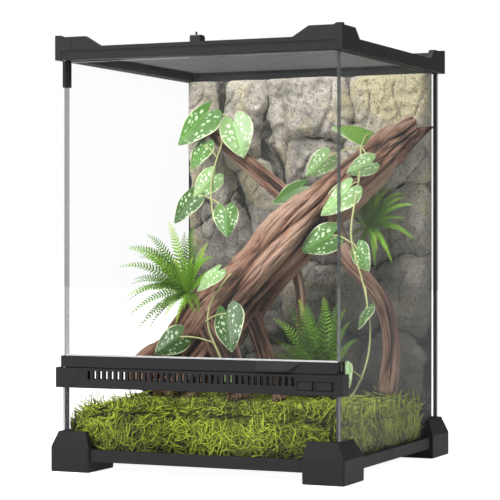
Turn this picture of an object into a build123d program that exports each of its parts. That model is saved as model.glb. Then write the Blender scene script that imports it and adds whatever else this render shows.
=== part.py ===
"""Front-opening glass reptile terrarium, furnished, in millimetres.

Origin: centre of the footprint on the surface it stands on.
+X is the keeper's right, -Y is the front with the door, +Z is up.
"""

import os
from math import cos, hypot, radians, sin

from build123d import *

os.makedirs("parts", exist_ok=True)

# ---------------------------------------------------------------- driving sizes
glass_side = 300.0          # outside width and depth of the glass box
glass_t = 4.0               # thickness of every fixed pane
door_t = 4.0                # thickness of the door pane
seam = 1.0                  # silicone seam between two panes
frame_lap = 6.0             # how far both plastic frames stand out past the glass
fit_gap = 0.3               # clearance between glass and plastic
run_gap = 0.5               # clearance round parts that swing or slide

# base frame and feet
base_z = 11.0
base_h = 12.0
base_web = 3.0              # floor of the base frame, under the glass
base_ledge = 18.0           # how far that floor reaches in under the bottom pane
foot_x = 43.6
foot_y = 54.4
foot_lap = 3.3              # feet stand out past the frames
foot_wall_h = 24.0          # height where the feet start to taper
foot_h = 41.0
foot_in_side = 8.0          # taper of a foot on its left or right outer face
foot_in_end = 2.4           # taper on its front or back outer face
foot_in_x = 5.0             # taper towards the middle, across
foot_in_y = 9.0             # taper towards the middle, along

# top frame and lid
frame_z = 416.5             # underside of the top frame
frame_h = 13.0              # height of its rim
ledge_h = 8.0               # height of the shelf that the lid rests on
ledge_w = 8.0               # width of that shelf, inside the rim wall
channel_deep = 4.5          # depth of the groove that takes the pane tops
pad_h = 10.3                # corner pads above the rim
pad_cap = 1.7               # stacking cap above a pad
cap_w = 6.0
pad_run_x = 34.5            # level top of a pad, across
pad_slope_x = 17.0
pad_run_y = 36.0            # level top of a pad, along
pad_slope_y = 12.0
panel_deep = 0.6            # sunk panel along the frame's front face
panel_h = 8.9
panel_in = 7.0
lid_w = 11.6                # width of the lid's border
lid_h = 4.3
lid_seat = 0.3
mesh_t = 0.8
mesh_wire = 3.0             # bar left between two openings of the modelled net
mesh_cells = 11
spline_w = 1.2
lid_travel = 60.0

# ventilation rail across the front
rail_z = 84.9
rail_h = 20.5
rail_out = 4.5              # rail and door rail stand out past the door pane
rail_plate = 3.5            # front plate of the rail
rail_roof = 2.2
rail_floor = 6.2
rail_back_y = 13.0          # depth of the rail shell
rail_cover_t = 1.8
rail_end = 4.0              # closed end of the rail's hollow
pane_seat = 4.0             # how far the lower front pane enters the rail
ear_deep = 16.4             # ears wrap round the side panes by this much
slot_count = 35
slot_pitch = 6.54
slot_w = 3.0
slot_h = 8.6
slot_z = 98.1
slot_x0 = -118.0            # first slot
knuckle_w = 9.0             # moulded pivot covers on the rail and on the frame
knuckle_out = 0.7
knuckle_x = -133.5
post_w = 1.7                # guide posts beside the door rail's ends
post_deep = 4.3
guide_h = 3.6

# door
swing_gap = 2.2             # door pane to the side panes' front edges
door_edge_l = 1.4           # door pane set in from the glass box on the hinge side
door_edge_r = 0.4
door_top_gap = 0.9
seam_gap = 0.5              # between the ventilation rail and the door rail
door_rail_h = 11.4
door_rail_floor = 2.5
door_rail_back = 2.0
gasket_w = 1.8
gasket_h = 1.5
hinge_x = -146.8
hinge_y = -152.3
pin_r = 1.3
pin_play = 0.06             # running clearance of the hinge pins, on the radius
clip_h = 26.5
clip_wall = 1.2
clip_w = 5.4
barrel_r = 2.2
door_open = 115.0
lip_x0 = 66.0               # finger lip on the door rail
lip_x1 = 95.0
lip_x2 = 115.0
lip_out = 3.6
lip_t = 1.2
lip_rise = 1.4

# lock keys and bolts
key_w = 15.2
key_h = 8.3
key_t = 1.4
key_z = 89.9
key_x = (109.1, 129.1)      # left side of each key
key_travel = 2.6
recess_deep = 2.0
recess_play = 0.4
stem_h = 4.0
bolt_t = 2.2

# lid latch
latch_x = 0.8
latch_w = 10.8
latch_deep = 12.5
latch_h = 6.5
latch_bolt_w = 6.0
latch_bolt_h = 3.0
latch_travel = 6.0
latch_pin_r = 1.0
latch_pin_h = 10.0

# ---------------------------------------------------------------- derived places
glass_o = glass_side / 2
glass_i = glass_o - glass_t
frame_o = glass_o + frame_lap
foot_o = frame_o + foot_lap
pane_z = base_z + base_web
rim_z = frame_z + frame_h
ledge_z = frame_z + ledge_h
pane_top = frame_z + channel_deep - fit_gap
frame_i = glass_o - ledge_w
door_front = -glass_o
door_back = door_front + door_t
pane_front = door_back + swing_gap
pane_back = glass_i - seam
floor_top = pane_z + glass_t
rail_top = rail_z + rail_h
rail_front = door_front - rail_out
rail_back = rail_front + rail_back_y
rail_hollow_z = rail_z + rail_floor
lower_pane_top = rail_z + pane_seat - fit_gap
between = glass_i - run_gap         # half width of what sits between the side panes
door_rail_z = rail_top + seam_gap
door_rail_top = door_rail_z + door_rail_h
door_pane_z = door_rail_z + door_rail_floor + fit_gap
door_pane_top = frame_z - door_top_gap - clip_wall


def save(part, name):
    """Label a finished piece and write it to its own file."""
    part.label = name
    export_step(part, f"parts/{name}.step")
    return part


def block(x0, x1, y0, y1, z0, z1, mode=Mode.ADD):
    """A rectangular block between two corners, in the part being built."""
    with Locations(((x0 + x1) / 2, (y0 + y1) / 2, (z0 + z1) / 2)):
        Box(x1 - x0, y1 - y0, z1 - z0, mode=mode)


def outline(points):
    """A straight-sided face through the given points, in the sketch being drawn."""
    Polygon(*points, align=None)


# ---------------------------------------------------------------- base
with BuildPart() as base_frame:
    with BuildSketch(Plane.XY.offset(base_z)):
        Rectangle(2 * frame_o, 2 * frame_o)
        window = 2 * (glass_o - base_ledge)
        RectangleRounded(window, window, 8.0, mode=Mode.SUBTRACT)
    extrude(amount=base_h)
    with BuildSketch(Plane.XY.offset(pane_z)):
        Rectangle(2 * (glass_o + fit_gap), 2 * (glass_o + fit_gap))
    extrude(amount=base_h, mode=Mode.SUBTRACT)
    rim_edges = base_frame.edges().filter_by(Axis.Z, reverse=True).group_by(Axis.Z)[-1]
    chamfer(rim_edges.filter_by(lambda e: e.length > 2 * frame_o - 1), 0.8)
save(base_frame.part, "base_frame")


def corner_foot(sx, sy, name):
    """A corner foot: a block round the frame's corner that tapers up the glass."""
    low_x = sx * (foot_o - foot_x / 2)
    low_y = sy * (foot_o - foot_y / 2)
    top_x = low_x - sx * (foot_in_side - foot_in_x) / 2
    top_y = low_y - sy * (foot_in_end - foot_in_y) / 2
    with BuildPart() as foot:
        with BuildSketch():
            with Locations((low_x, low_y)):
                Rectangle(foot_x, foot_y)
        extrude(amount=foot_wall_h)
        with BuildSketch(Plane.XY.offset(foot_wall_h)):
            with Locations((low_x, low_y)):
                Rectangle(foot_x, foot_y)
        with BuildSketch(Plane.XY.offset(foot_h)):
            with Locations((top_x, top_y)):
                Rectangle(foot_x - foot_in_side - foot_in_x,
                          foot_y - foot_in_end - foot_in_y)
        loft(ruled=True)
        chamfer(foot.edges().filter_by(Axis.Z), 1.2)
        chamfer(foot.faces().sort_by(Axis.Z)[0].edges(), 0.8)
        with BuildSketch(Plane.XY.offset(base_z)):
            Rectangle(2 * frame_o, 2 * frame_o)
        extrude(amount=base_h, mode=Mode.SUBTRACT)
        with BuildSketch(Plane.XY.offset(base_z)):
            Rectangle(2 * (glass_o + fit_gap), 2 * (glass_o + fit_gap))
        extrude(amount=foot_h, mode=Mode.SUBTRACT)
    save(foot.part, name)


corner_foot(-1, -1, "front_left_foot")
corner_foot(1, -1, "front_right_foot")
corner_foot(-1, 1, "rear_left_foot")
corner_foot(1, 1, "rear_right_foot")


# ---------------------------------------------------------------- fixed panes
def pane(name, x0, x1, y0, y1, z0, z1):
    """A flat pane of glass with ground edges."""
    with BuildPart() as glass:
        block(x0, x1, y0, y1, z0, z1)
    save(glass.part, name)


pane("bottom_glass", -pane_back, pane_back, -pane_back, pane_back, pane_z, floor_top)
pane("left_glass", -glass_o, -glass_i, pane_front, pane_back, pane_z, pane_top)
pane("right_glass", glass_i, glass_o, pane_front, pane_back, pane_z, pane_top)
pane("back_glass", -glass_o, glass_o, glass_i, glass_o, pane_z, pane_top)
pane("front_glass", -glass_o, glass_o, door_front, door_back, pane_z, lower_pane_top)

bead = 3.0                  # silicone bead in the corner over the bottom pane
with BuildPart() as silicone_seams:
    with BuildSketch(Plane.XY.offset(pane_z)):
        Rectangle(2 * glass_i, 2 * glass_i)
        Rectangle(2 * pane_back, 2 * pane_back, mode=Mode.SUBTRACT)
    extrude(amount=glass_t)
    with BuildSketch(Plane.XY.offset(floor_top)):
        Rectangle(2 * glass_i, 2 * glass_i)
    extrude(amount=bead)
    with BuildSketch(Plane.XY.offset(floor_top)):
        Rectangle(2 * (glass_i - bead), 2 * (glass_i - bead))
    with BuildSketch(Plane.XY.offset(floor_top + bead)):
        Rectangle(2 * glass_i - 0.8, 2 * glass_i - 0.8)
    loft(mode=Mode.SUBTRACT)
    for side in (-1, 1):
        mid = side * (glass_i + glass_t / 2)
        block(mid - glass_t / 2, mid + glass_t / 2, pane_back, glass_i, pane_z, pane_top)
        block(mid - glass_t / 2, mid + glass_t / 2, door_back, pane_front, pane_z, rail_z)
save(silicone_seams.part, "silicone_seams")


# ---------------------------------------------------------------- ventilation rail
def vent_slots(y0, y1):
    """Cut the row of upright ventilation slots through a plate."""
    for i in range(slot_count):
        x = slot_x0 + i * slot_pitch
        block(x - slot_w / 2, x + slot_w / 2, y0, y1,
              slot_z - slot_h / 2, slot_z + slot_h / 2, mode=Mode.SUBTRACT)


recess_z0 = key_z - recess_play
recess_z1 = key_z + key_h + recess_play
recess_x0 = key_x[0] - recess_play
recess_x1 = key_x[1] + key_w + key_travel + recess_play
recess_y = rail_front + recess_deep
stem_z = key_z + key_h / 2
hollow_x = between - rail_end
bolt_y0 = rail_front + 5.6
bolt_y1 = bolt_y0 + bolt_t
stem_x = (3.0, 7.0)         # stem of a key, from the key's left side
arm_x = (1.5, 9.5)          # arm behind the front plate
bolt_x = (5.0, 9.4)
wedge_top = 99.5
wedge_low = wedge_top - (arm_x[1] - 3.5)
ear_back = rail_front + ear_deep

with BuildPart() as vent_rail:
    with BuildSketch(Plane.XY.offset(rail_z)):
        outline([
            (-frame_o, rail_front), (frame_o, rail_front), (frame_o, ear_back),
            (glass_o + fit_gap, ear_back), (glass_o + fit_gap, pane_front - fit_gap),
            (between, pane_front - fit_gap), (between, rail_back),
            (-between, rail_back), (-between, pane_front - fit_gap),
            (-glass_o - fit_gap, pane_front - fit_gap), (-glass_o - fit_gap, ear_back),
            (-frame_o, ear_back),
        ])
    extrude(amount=rail_h)
    front_face = vent_rail.faces().sort_by(Axis.Y)[0]
    chamfer(front_face.edges().filter_by(Axis.X), 0.6)
    block(-hollow_x, hollow_x, rail_front + rail_plate, rail_back,
          rail_hollow_z, rail_top - rail_roof, mode=Mode.SUBTRACT)
    block(-glass_o - fit_gap, glass_o + fit_gap, door_front - fit_gap,
          door_back + fit_gap, rail_z, rail_z + pane_seat, mode=Mode.SUBTRACT)
    vent_slots(rail_front, rail_front + rail_plate)
    block(recess_x0, recess_x1, rail_front, recess_y, recess_z0, recess_z1,
          mode=Mode.SUBTRACT)
    for x in key_x:
        block(x + stem_x[0] - fit_gap, x + stem_x[1] + key_travel + fit_gap,
              recess_y, rail_front + rail_plate, stem_z - stem_h / 2 - fit_gap,
              stem_z + stem_h / 2 + fit_gap, mode=Mode.SUBTRACT)
        block(x + bolt_x[0] - fit_gap, x + bolt_x[1] + fit_gap, bolt_y0 - fit_gap,
              bolt_y1 + fit_gap, rail_top - rail_roof, rail_top, mode=Mode.SUBTRACT)
    with Locations((hinge_x, hinge_y, rail_top)):
        Cylinder(pin_r + pin_play, 2 * 6.0, mode=Mode.SUBTRACT)
    with BuildSketch(Plane.XY.offset(rail_z + 4.0)):
        with Locations((knuckle_x, rail_front + 0.4)):
            Ellipse(knuckle_w / 2, knuckle_out + 0.4)
            Rectangle(knuckle_w + 2, 4.0, align=(Align.CENTER, Align.MIN),
                      mode=Mode.SUBTRACT)
    extrude(amount=rail_h - 4.6)
    for side in (-1, 1):
        x0 = side * (glass_o + 2 * fit_gap)
        x1 = x0 + side * post_w
        low, high = min(x0, x1), max(x0, x1)
        block(low, high, ear_back - post_deep, ear_back, rail_top, door_rail_top)
        block(low, high, pane_front - fit_gap, ear_back, rail_top, rail_top + guide_h)
save(vent_rail.part, "vent_rail")

with BuildPart() as vent_rail_cover:
    block(-between, between, rail_back, rail_back + rail_cover_t,
          rail_z + 0.8, rail_top - 0.6)
    vent_slots(rail_back, rail_back + rail_cover_t)
save(vent_rail_cover.part, "vent_rail_cover")


# ---------------------------------------------------------------- lock keys and bolts
def lock_key(x, name):
    """A sliding key: face, stem through the plate, and a wedge behind it."""
    with BuildPart() as key:
        with BuildSketch(Plane.XZ.offset(-recess_y + fit_gap)):
            with Locations((x + key_w / 2, key_z + key_h / 2)):
                RectangleRounded(key_w, key_h, 0.9)
        extrude(amount=key_t)
        chamfer(key.faces().sort_by(Axis.Y)[0].edges(), 0.35)
        block(x + stem_x[0], x + stem_x[1], recess_y - fit_gap,
              rail_front + rail_plate + fit_gap, stem_z - stem_h / 2,
              stem_z + stem_h / 2)
        with BuildSketch(Plane.XZ.offset(-rail_front - rail_plate - fit_gap)):
            outline([
                (x + arm_x[0], rail_hollow_z + run_gap),
                (x + arm_x[1], rail_hollow_z + run_gap),
                (x + arm_x[1], wedge_low), (x + 3.5, wedge_top),
                (x + arm_x[0], wedge_top),
            ])
        extrude(amount=-(bolt_y1 - rail_front - rail_plate - fit_gap))
    save(key.part, name)


def lock_bolt(x, name):
    """An upright bolt whose sloped foot rides on the key's wedge."""
    slope = wedge_top + 3.5 + fit_gap
    with BuildPart() as bolt:
        with BuildSketch(Plane.XZ.offset(-bolt_y0)):
            outline([
                (x + bolt_x[0], slope - bolt_x[0]), (x + bolt_x[1], slope - bolt_x[1]),
                (x + bolt_x[1], rail_top - 0.2), (x + bolt_x[0], rail_top - 0.2),
            ])
        extrude(amount=-bolt_t)
    save(bolt.part, name)


lock_key(key_x[0], "left_lock_key")
lock_key(key_x[1], "right_lock_key")
lock_bolt(key_x[0], "left_lock_bolt")
lock_bolt(key_x[1], "right_lock_bolt")

# ---------------------------------------------------------------- door
pane("door_glass", -glass_o + door_edge_l, glass_o - door_edge_r, door_front, door_back,
     door_pane_z, door_pane_top)

door_rail_y1 = door_back + 0.2
lip_z = door_rail_z + lip_rise
with BuildPart() as door_rail:
    with BuildSketch(Plane.XY.offset(door_rail_z)):
        outline([
            (-glass_o, rail_front), (glass_o, rail_front), (glass_o, door_rail_y1),
            (between - 0.3, door_rail_y1), (between - 0.3, door_rail_y1 + door_rail_back),
            (-between + 0.3, door_rail_y1 + door_rail_back),
            (-between + 0.3, door_rail_y1), (-glass_o, door_rail_y1),
        ])
    extrude(amount=door_rail_h)
    front_face = door_rail.faces().sort_by(Axis.Y)[0]
    chamfer(front_face.edges().filter_by(Axis.X), 0.5)
    # finger lip: a wedge that stands out at its lower edge, cut to a swept outline
    with BuildSketch(Plane.YZ.offset(lip_x0)):
        outline([
            (rail_front + 1.0, door_rail_top - 0.8), (rail_front, door_rail_top - 0.8),
            (rail_front - lip_out, lip_z + 1.2), (rail_front - lip_out, lip_z),
            (rail_front - lip_out + lip_t, lip_z), (rail_front, lip_z + 5.5),
            (rail_front + 1.0, lip_z + 5.5),
        ])
    extrude(amount=lip_x2 - lip_x0)
    with BuildSketch(Plane.XZ.offset(-rail_front)):
        with BuildLine():
            Polyline((lip_x1, lip_z), (lip_x1, lip_z - 1), (lip_x2 + 1, lip_z - 1),
                     (lip_x2 + 1, door_rail_top), (lip_x2, door_rail_top - 0.8))
            Spline((lip_x2, door_rail_top - 0.8), (lip_x2 - 9.0, lip_z + 4.2),
                   (lip_x1, lip_z), tangents=[(-1.0, -0.25), (-1.0, 0.0)])
        make_face()
    extrude(amount=lip_out + 1.0, mode=Mode.SUBTRACT)
    block(-glass_o, glass_o, door_front - 0.1, door_back + 0.1,
          door_rail_z + door_rail_floor, door_rail_top, mode=Mode.SUBTRACT)
    with Locations((hinge_x, hinge_y, door_rail_z)):
        Cylinder(pin_r + 0.02, 2 * 6.0, mode=Mode.SUBTRACT)
    for x in key_x:
        block(x + bolt_x[0] - run_gap, x + bolt_x[1] + run_gap, bolt_y0 - run_gap,
              bolt_y1 + run_gap, door_rail_z, door_rail_z + door_rail_floor,
              mode=Mode.SUBTRACT)
save(door_rail.part, "door_rail")

gasket_y = door_front - 0.1
with BuildPart() as door_gasket:
    with BuildSketch(Plane.YZ.offset(-glass_o + 4.0)):
        outline([
            (gasket_y - gasket_w, door_rail_top), (gasket_y, door_rail_top),
            (gasket_y, door_rail_top + gasket_h),
            (gasket_y - 0.5 * gasket_w, door_rail_top + 0.85 * gasket_h),
        ])
    extrude(amount=2 * glass_o - 4.0 - door_edge_r)
save(door_gasket.part, "door_gasket")

clip_z = frame_z - door_top_gap - clip_h
with BuildPart() as hinge_clip:
    with BuildSketch(Plane.XY.offset(clip_z)):
        edge = -glass_o + door_edge_l
        outline([
            (edge - clip_wall, door_front - clip_wall), (edge + clip_w, door_front - clip_wall),
            (edge + clip_w, door_back + clip_wall + 0.2), (edge + 0.2, door_back + clip_wall + 0.2),
            (edge - clip_wall, door_back + 0.4),
        ])
        with Locations((hinge_x, hinge_y)):
            Circle(barrel_r)
    extrude(amount=clip_h)
    block(edge - 0.05, edge + clip_w + 1, door_front - 0.05, door_back + 0.05,
          clip_z, door_pane_top, mode=Mode.SUBTRACT)
    with Locations((hinge_x, hinge_y, clip_z + clip_h)):
        Cylinder(pin_r + 0.02, 2 * 11.0, mode=Mode.SUBTRACT)
save(hinge_clip.part, "hinge_clip")


def hinge_pin(name, z0, z1):
    """A steel pivot pin with rounded-off ends."""
    with BuildPart() as pin:
        with BuildSketch(Plane.XY.offset(z0)):
            with Locations((hinge_x, hinge_y)):
                Circle(pin_r)
        extrude(amount=z1 - z0)
        chamfer(pin.edges().filter_by(GeomType.CIRCLE), 0.3)
    save(pin.part, name)


hinge_pin("upper_hinge_pin", frame_z - door_top_gap - 10.8, frame_z + 5.0)
hinge_pin("lower_hinge_pin", rail_top - 5.7, door_rail_z + 5.8)

# ---------------------------------------------------------------- top frame
with BuildPart() as top_frame:
    with BuildSketch(Plane.XY.offset(frame_z)):
        Rectangle(2 * frame_o, 2 * frame_o)
        Rectangle(2 * frame_i, 2 * frame_i, mode=Mode.SUBTRACT)
    extrude(amount=frame_h)
    # shelf for the lid
    with BuildSketch(Plane.XY.offset(ledge_z)):
        Rectangle(2 * glass_o, 2 * glass_o)
    extrude(amount=frame_h, mode=Mode.SUBTRACT)
    # corner pads
    pad_x = [
        (frame_o, rim_z - 1.0), (frame_o, rim_z + pad_h + pad_cap),
        (frame_o - cap_w, rim_z + pad_h + pad_cap), (frame_o - cap_w - 3.0, rim_z + pad_h),
        (frame_o - pad_run_x, rim_z + pad_h),
        (frame_o - pad_run_x - pad_slope_x, rim_z), (frame_o - pad_run_x, rim_z - 1.0),
    ]
    pad_y = [
        (frame_o, rim_z - 1.0), (frame_o, rim_z + pad_h), (frame_o - pad_run_y, rim_z + pad_h),
        (frame_o - pad_run_y - pad_slope_y, rim_z), (frame_o - pad_run_y, rim_z - 1.0),
    ]
    for side in (-1, 1):
        for end in (frame_o, -glass_o):
            with BuildSketch(Plane.XZ.offset(end)):
                outline([(side * x, z) for x, z in pad_x])
            extrude(amount=-frame_lap)
            with BuildSketch(Plane.YZ.offset(end)):
                outline([(side * y, z) for y, z in pad_y])
            extrude(amount=-frame_lap)
    # grooves for the tops of the side and back panes
    for side in (-1, 1):
        mid = side * (glass_o - glass_t / 2)
        half = glass_t / 2 + fit_gap
        block(mid - half, mid + half, pane_front - fit_gap, glass_i, frame_z,
              frame_z + channel_deep, mode=Mode.SUBTRACT)
    block(-glass_o - fit_gap, glass_o + fit_gap, glass_i - fit_gap, glass_o + fit_gap,
          frame_z, frame_z + channel_deep, mode=Mode.SUBTRACT)
    # sunk panel along the front face, and the pivot cover and bore of the door hinge
    block(-frame_o + panel_in, frame_o - panel_in, -frame_o, -frame_o + panel_deep,
          frame_z, frame_z + panel_h, mode=Mode.SUBTRACT)
    with BuildSketch(Plane.XY.offset(frame_z + panel_h + 0.8)):
        with Locations((knuckle_x - 1.0, -frame_o + 0.4)):
            Ellipse(knuckle_w / 2, knuckle_out + 0.4)
            Rectangle(knuckle_w + 2, 4.0, align=(Align.CENTER, Align.MIN),
                      mode=Mode.SUBTRACT)
    extrude(amount=frame_h + pad_h - panel_h - 2.4)
    with Locations((hinge_x, hinge_y, frame_z)):
        Cylinder(pin_r + pin_play, 2 * 5.6, mode=Mode.SUBTRACT)
save(top_frame.part, "top_frame")

# ---------------------------------------------------------------- mesh lid
lid_z = ledge_z + lid_seat
lid_o = glass_o - run_gap
lid_i = lid_o - lid_w
mesh_o = lid_i + 3.0
mesh_z = lid_z + 1.2
notch_x0 = latch_x - latch_w / 2 - run_gap
notch_x1 = latch_x + latch_w / 2 + run_gap
latch_back = -frame_o + latch_deep
with BuildPart() as lid_frame:
    with BuildSketch(Plane.XY.offset(lid_z)):
        RectangleRounded(2 * lid_o, 2 * lid_o, 2.0)
        Rectangle(2 * lid_i, 2 * lid_i, mode=Mode.SUBTRACT)
    extrude(amount=lid_h)
    chamfer(lid_frame.faces().sort_by(Axis.Z)[-1].edges(), 0.6)
    with BuildSketch(Plane.XY.offset(lid_z)):
        Rectangle(2 * (mesh_o + 0.2), 2 * (mesh_o + 0.2))
    extrude(amount=mesh_z + mesh_t - lid_z, mode=Mode.SUBTRACT)
    block(notch_x0, notch_x1, -lid_o, latch_back + run_gap, lid_z, lid_z + lid_h,
          mode=Mode.SUBTRACT)
save(lid_frame.part, "lid_frame")

with BuildPart() as lid_mesh:
    with BuildSketch(Plane.XY.offset(mesh_z)):
        Rectangle(2 * mesh_o, 2 * mesh_o)
        pitch = 2 * lid_i / mesh_cells
        with GridLocations(pitch, pitch, mesh_cells, mesh_cells):
            Rectangle(pitch - mesh_wire, pitch - mesh_wire, mode=Mode.SUBTRACT)
    extrude(amount=mesh_t)
save(lid_mesh.part, "lid_mesh")

with BuildPart() as lid_spline:
    with BuildSketch(Plane.XY.offset(lid_z + 0.2)):
        Rectangle(2 * mesh_o, 2 * mesh_o)
        Rectangle(2 * (mesh_o - spline_w), 2 * (mesh_o - spline_w), mode=Mode.SUBTRACT)
    extrude(amount=mesh_z - lid_z - 0.2)
save(lid_spline.part, "lid_spline")

# ---------------------------------------------------------------- lid latch
tunnel_z = rim_z + 0.5
with BuildPart() as lid_latch_housing:
    with BuildSketch(Plane.YZ.offset(latch_x - latch_w / 2)):
        outline([
            (-frame_o, rim_z), (-frame_o, rim_z + latch_h - 1.0),
            (-frame_o + 1.0, rim_z + latch_h), (latch_back - 2.5, rim_z + latch_h),
            (latch_back, rim_z + latch_h - 2.0), (latch_back, ledge_z),
            (-glass_o, ledge_z), (-glass_o, rim_z),
        ])
    extrude(amount=latch_w)
    tunnel = latch_bolt_w / 2 + fit_gap
    block(latch_x - tunnel, latch_x + tunnel, -frame_o + 1.5, latch_back, tunnel_z,
          tunnel_z + latch_bolt_h + 2 * fit_gap, mode=Mode.SUBTRACT)
    slot = latch_pin_r + fit_gap
    block(latch_x - slot, latch_x + slot, -frame_o + 1.5 + 1.2, latch_back,
          tunnel_z, rim_z + latch_h, mode=Mode.SUBTRACT)
save(lid_latch_housing.part, "lid_latch_housing")

with BuildPart() as lid_latch_bolt:
    bolt_front = -frame_o + 1.5 + fit_gap
    block(latch_x - latch_bolt_w / 2, latch_x + latch_bolt_w / 2, bolt_front,
          latch_back - 0.2, tunnel_z + fit_gap, tunnel_z + fit_gap + latch_bolt_h)
    chamfer(lid_latch_bolt.faces().sort_by(Axis.Y)[-1].edges().filter_by(Axis.X), 0.8)
    with BuildSketch(Plane.XY.offset(tunnel_z + fit_gap)):
        with Locations((latch_x, -frame_o + 1.5 + 1.2 + fit_gap + latch_pin_r)):
            Circle(latch_pin_r)
    extrude(amount=rim_z + latch_pin_h - tunnel_z - fit_gap)
    fillet(lid_latch_bolt.faces().sort_by(Axis.Z)[-1].edges(), 0.6)
save(lid_latch_bolt.part, "lid_latch_bolt")

# ---------------------------------------------------------------- furnishing sizes
soil_gap = 0.3
moss_z = 66.0               # level of the moss between its mounds
moss_front = door_back + soil_gap
rock_back = glass_i - 1.0
rock_face = 131.0           # face of the rock slab between its boulders
rock_side = 144.5
rock_top = frame_z - 1.0
twig_r = 1.5
leaf_t = 1.2
plug_r = 5.0                # plug that a fern stands in

# boulders of the rock wall: x, z, width, height, depth, turn in degrees
boulders = [
    (-112, 385, 62, 44, 13, 6), (-45, 392, 66, 38, 16, -5), (24, 388, 62, 40, 12, 7),
    (92, 391, 64, 40, 14, -6), (-118, 334, 48, 50, 16, -8), (-62, 340, 56, 52, 12, 5),
    (2, 338, 62, 48, 17, -4), (64, 342, 54, 44, 11, 9), (118, 340, 42, 48, 9, 4),
    (-110, 276, 62, 52, 12, 7), (-46, 282, 56, 54, 17, -7), (16, 284, 58, 50, 12, 5),
    (78, 286, 56, 52, 14, -8), (122, 288, 36, 46, 10, 3), (-120, 220, 44, 50, 16, 4),
    (-66, 222, 56, 52, 13, -6), (-4, 226, 60, 52, 16, 8), (58, 226, 56, 54, 12, -4),
    (114, 230, 48, 52, 15, 6), (-108, 164, 62, 48, 14, -7), (-42, 166, 60, 48, 16, 6),
    (24, 168, 62, 50, 13, -5), (88, 170, 58, 52, 16, 7), (-116, 110, 50, 44, 16, 5),
    (-60, 112, 54, 44, 13, -6), (0, 112, 58, 46, 16, 4), (64, 112, 60, 46, 14, -7),
    (119, 112, 44, 44, 16, 6),
]
# mounds of the moss: x, y, radius, height above the moss level
mounds = [
    (-118, -112, 24, 14), (-74, -118, 26, 9), (-28, -116, 30, 12), (22, -120, 24, 10),
    (66, -116, 27, 13), (112, -114, 28, 15), (-116, -62, 26, 17), (-124, -8, 19, 15),
    (-112, 48, 28, 14), (-60, 74, 26, 11), (-8, 70, 28, 9), (44, 76, 26, 12),
    (112, 76, 26, 14), (116, 18, 24, 12), (40, -70, 22, 9), (104, -62, 26, 12),
]
# trunk of the driftwood: centre and radius, from its top end down to the moss
trunk = [
    (132, 116, 352, 8), (121, 109, 341, 14), (107, 98, 327, 18), (75, 76, 297, 21),
    (44, 54, 261, 24), (11, 34, 224, 28), (-16, 16, 187, 30), (-46, 0, 149, 33),
    (-66, -10, 115, 37), (-80, -18, 84, 41),
]
branch = [
    (-110, 108, 359, 4), (-94, 105, 349, 6.5), (-77, 100, 337, 8), (-34, 84, 308, 8.5),
    (14, 62, 276, 9.5), (34, 54, 262, 11),
]
root = [
    (60, 56, 262, 9), (81, 46, 219, 9), (105, 44, 194, 8.5), (124, 46, 168, 8),
    (131, 52, 130, 8), (128, 54, 96, 9), (124, 54, 81, 11),
]
stub = [(-52, -22, 142, 20), (-18, -38, 110, 14), (2, -44, 83, 13)]

# ferns: crown, then the tips of the fronds
fern_a = [
    (-74, -16, 175), (-134, -58, 206), (-128, -50, 226), (-116, -30, 240),
    (-96, -20, 252), (-72, -6, 248), (-132, -58, 172), (-112, -60, 140),
    (-72, -62, 146), (-50, -60, 156), (-18, -40, 198), (-46, -24, 226),
]
fern_b = [
    (92, 90, 250), (61, 100, 280), (80, 104, 300), (113, 104, 290), (138, 100, 272),
    (138, 92, 232), (120, 80, 210), (84, 78, 206), (62, 84, 226),
]
fern_c = [
    (68, 10, 72), (18, 0, 158), (42, 12, 172), (68, 22, 172), (94, 20, 160),
    (112, 4, 130), (28, -22, 118), (100, -30, 104), (50, -40, 110),
]


def point(values):
    """The place part of a row of furnishing sizes."""
    return Vector(*values[:3])


def way(points, i):
    """Direction of a path at one of its points."""
    ahead = point(points[min(i + 1, len(points) - 1)])
    behind = point(points[max(i - 1, 0)])
    return (ahead - behind).normalized()


def across(direction):
    """A level direction square to the given one."""
    return direction.cross(Vector(0, 0, 1)).normalized()


# ---------------------------------------------------------------- rock wall and moss
with BuildPart() as driftwood:
    for limb, sides in ((trunk, 12), (branch, 8), (root, 8), (stub, 8)):
        for i, row in enumerate(limb):
            heading = way(limb, i)
            with BuildSketch(Plane(origin=point(row), x_dir=across(heading),
                                   z_dir=heading)):
                RegularPolygon(row[3], sides)
        loft(ruled=True)
save(driftwood.part, "driftwood")

with BuildPart() as rock_background:
    block(-rock_side, rock_side, rock_face, rock_back, floor_top + bead + soil_gap, rock_top)
    for x, z, w, h, deep, turn in boulders:
        with BuildSketch(Plane.XZ.offset(-rock_face - 1.0)):
            with Locations(Location((x, z), turn)):
                outline([
                    (-w / 2, -h / 4), (-w / 3, -h / 2), (w / 4, -h / 2.1), (w / 2, -h / 5),
                    (w / 2.1, h / 4), (w / 4, h / 2), (-w / 4, h / 2.1), (-w / 2, h / 5),
                ])
        extrude(amount=deep + 1.0, taper=28)
    block(rock_side, 2 * rock_side, 0, glass_o, 0, 500, mode=Mode.SUBTRACT)
    block(-2 * rock_side, -rock_side, 0, glass_o, 0, 500, mode=Mode.SUBTRACT)
    block(-glass_o, glass_o, 0, glass_o, rock_top, 500, mode=Mode.SUBTRACT)
    add(driftwood.part, mode=Mode.SUBTRACT)
save(rock_background.part, "rock_background")

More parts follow.
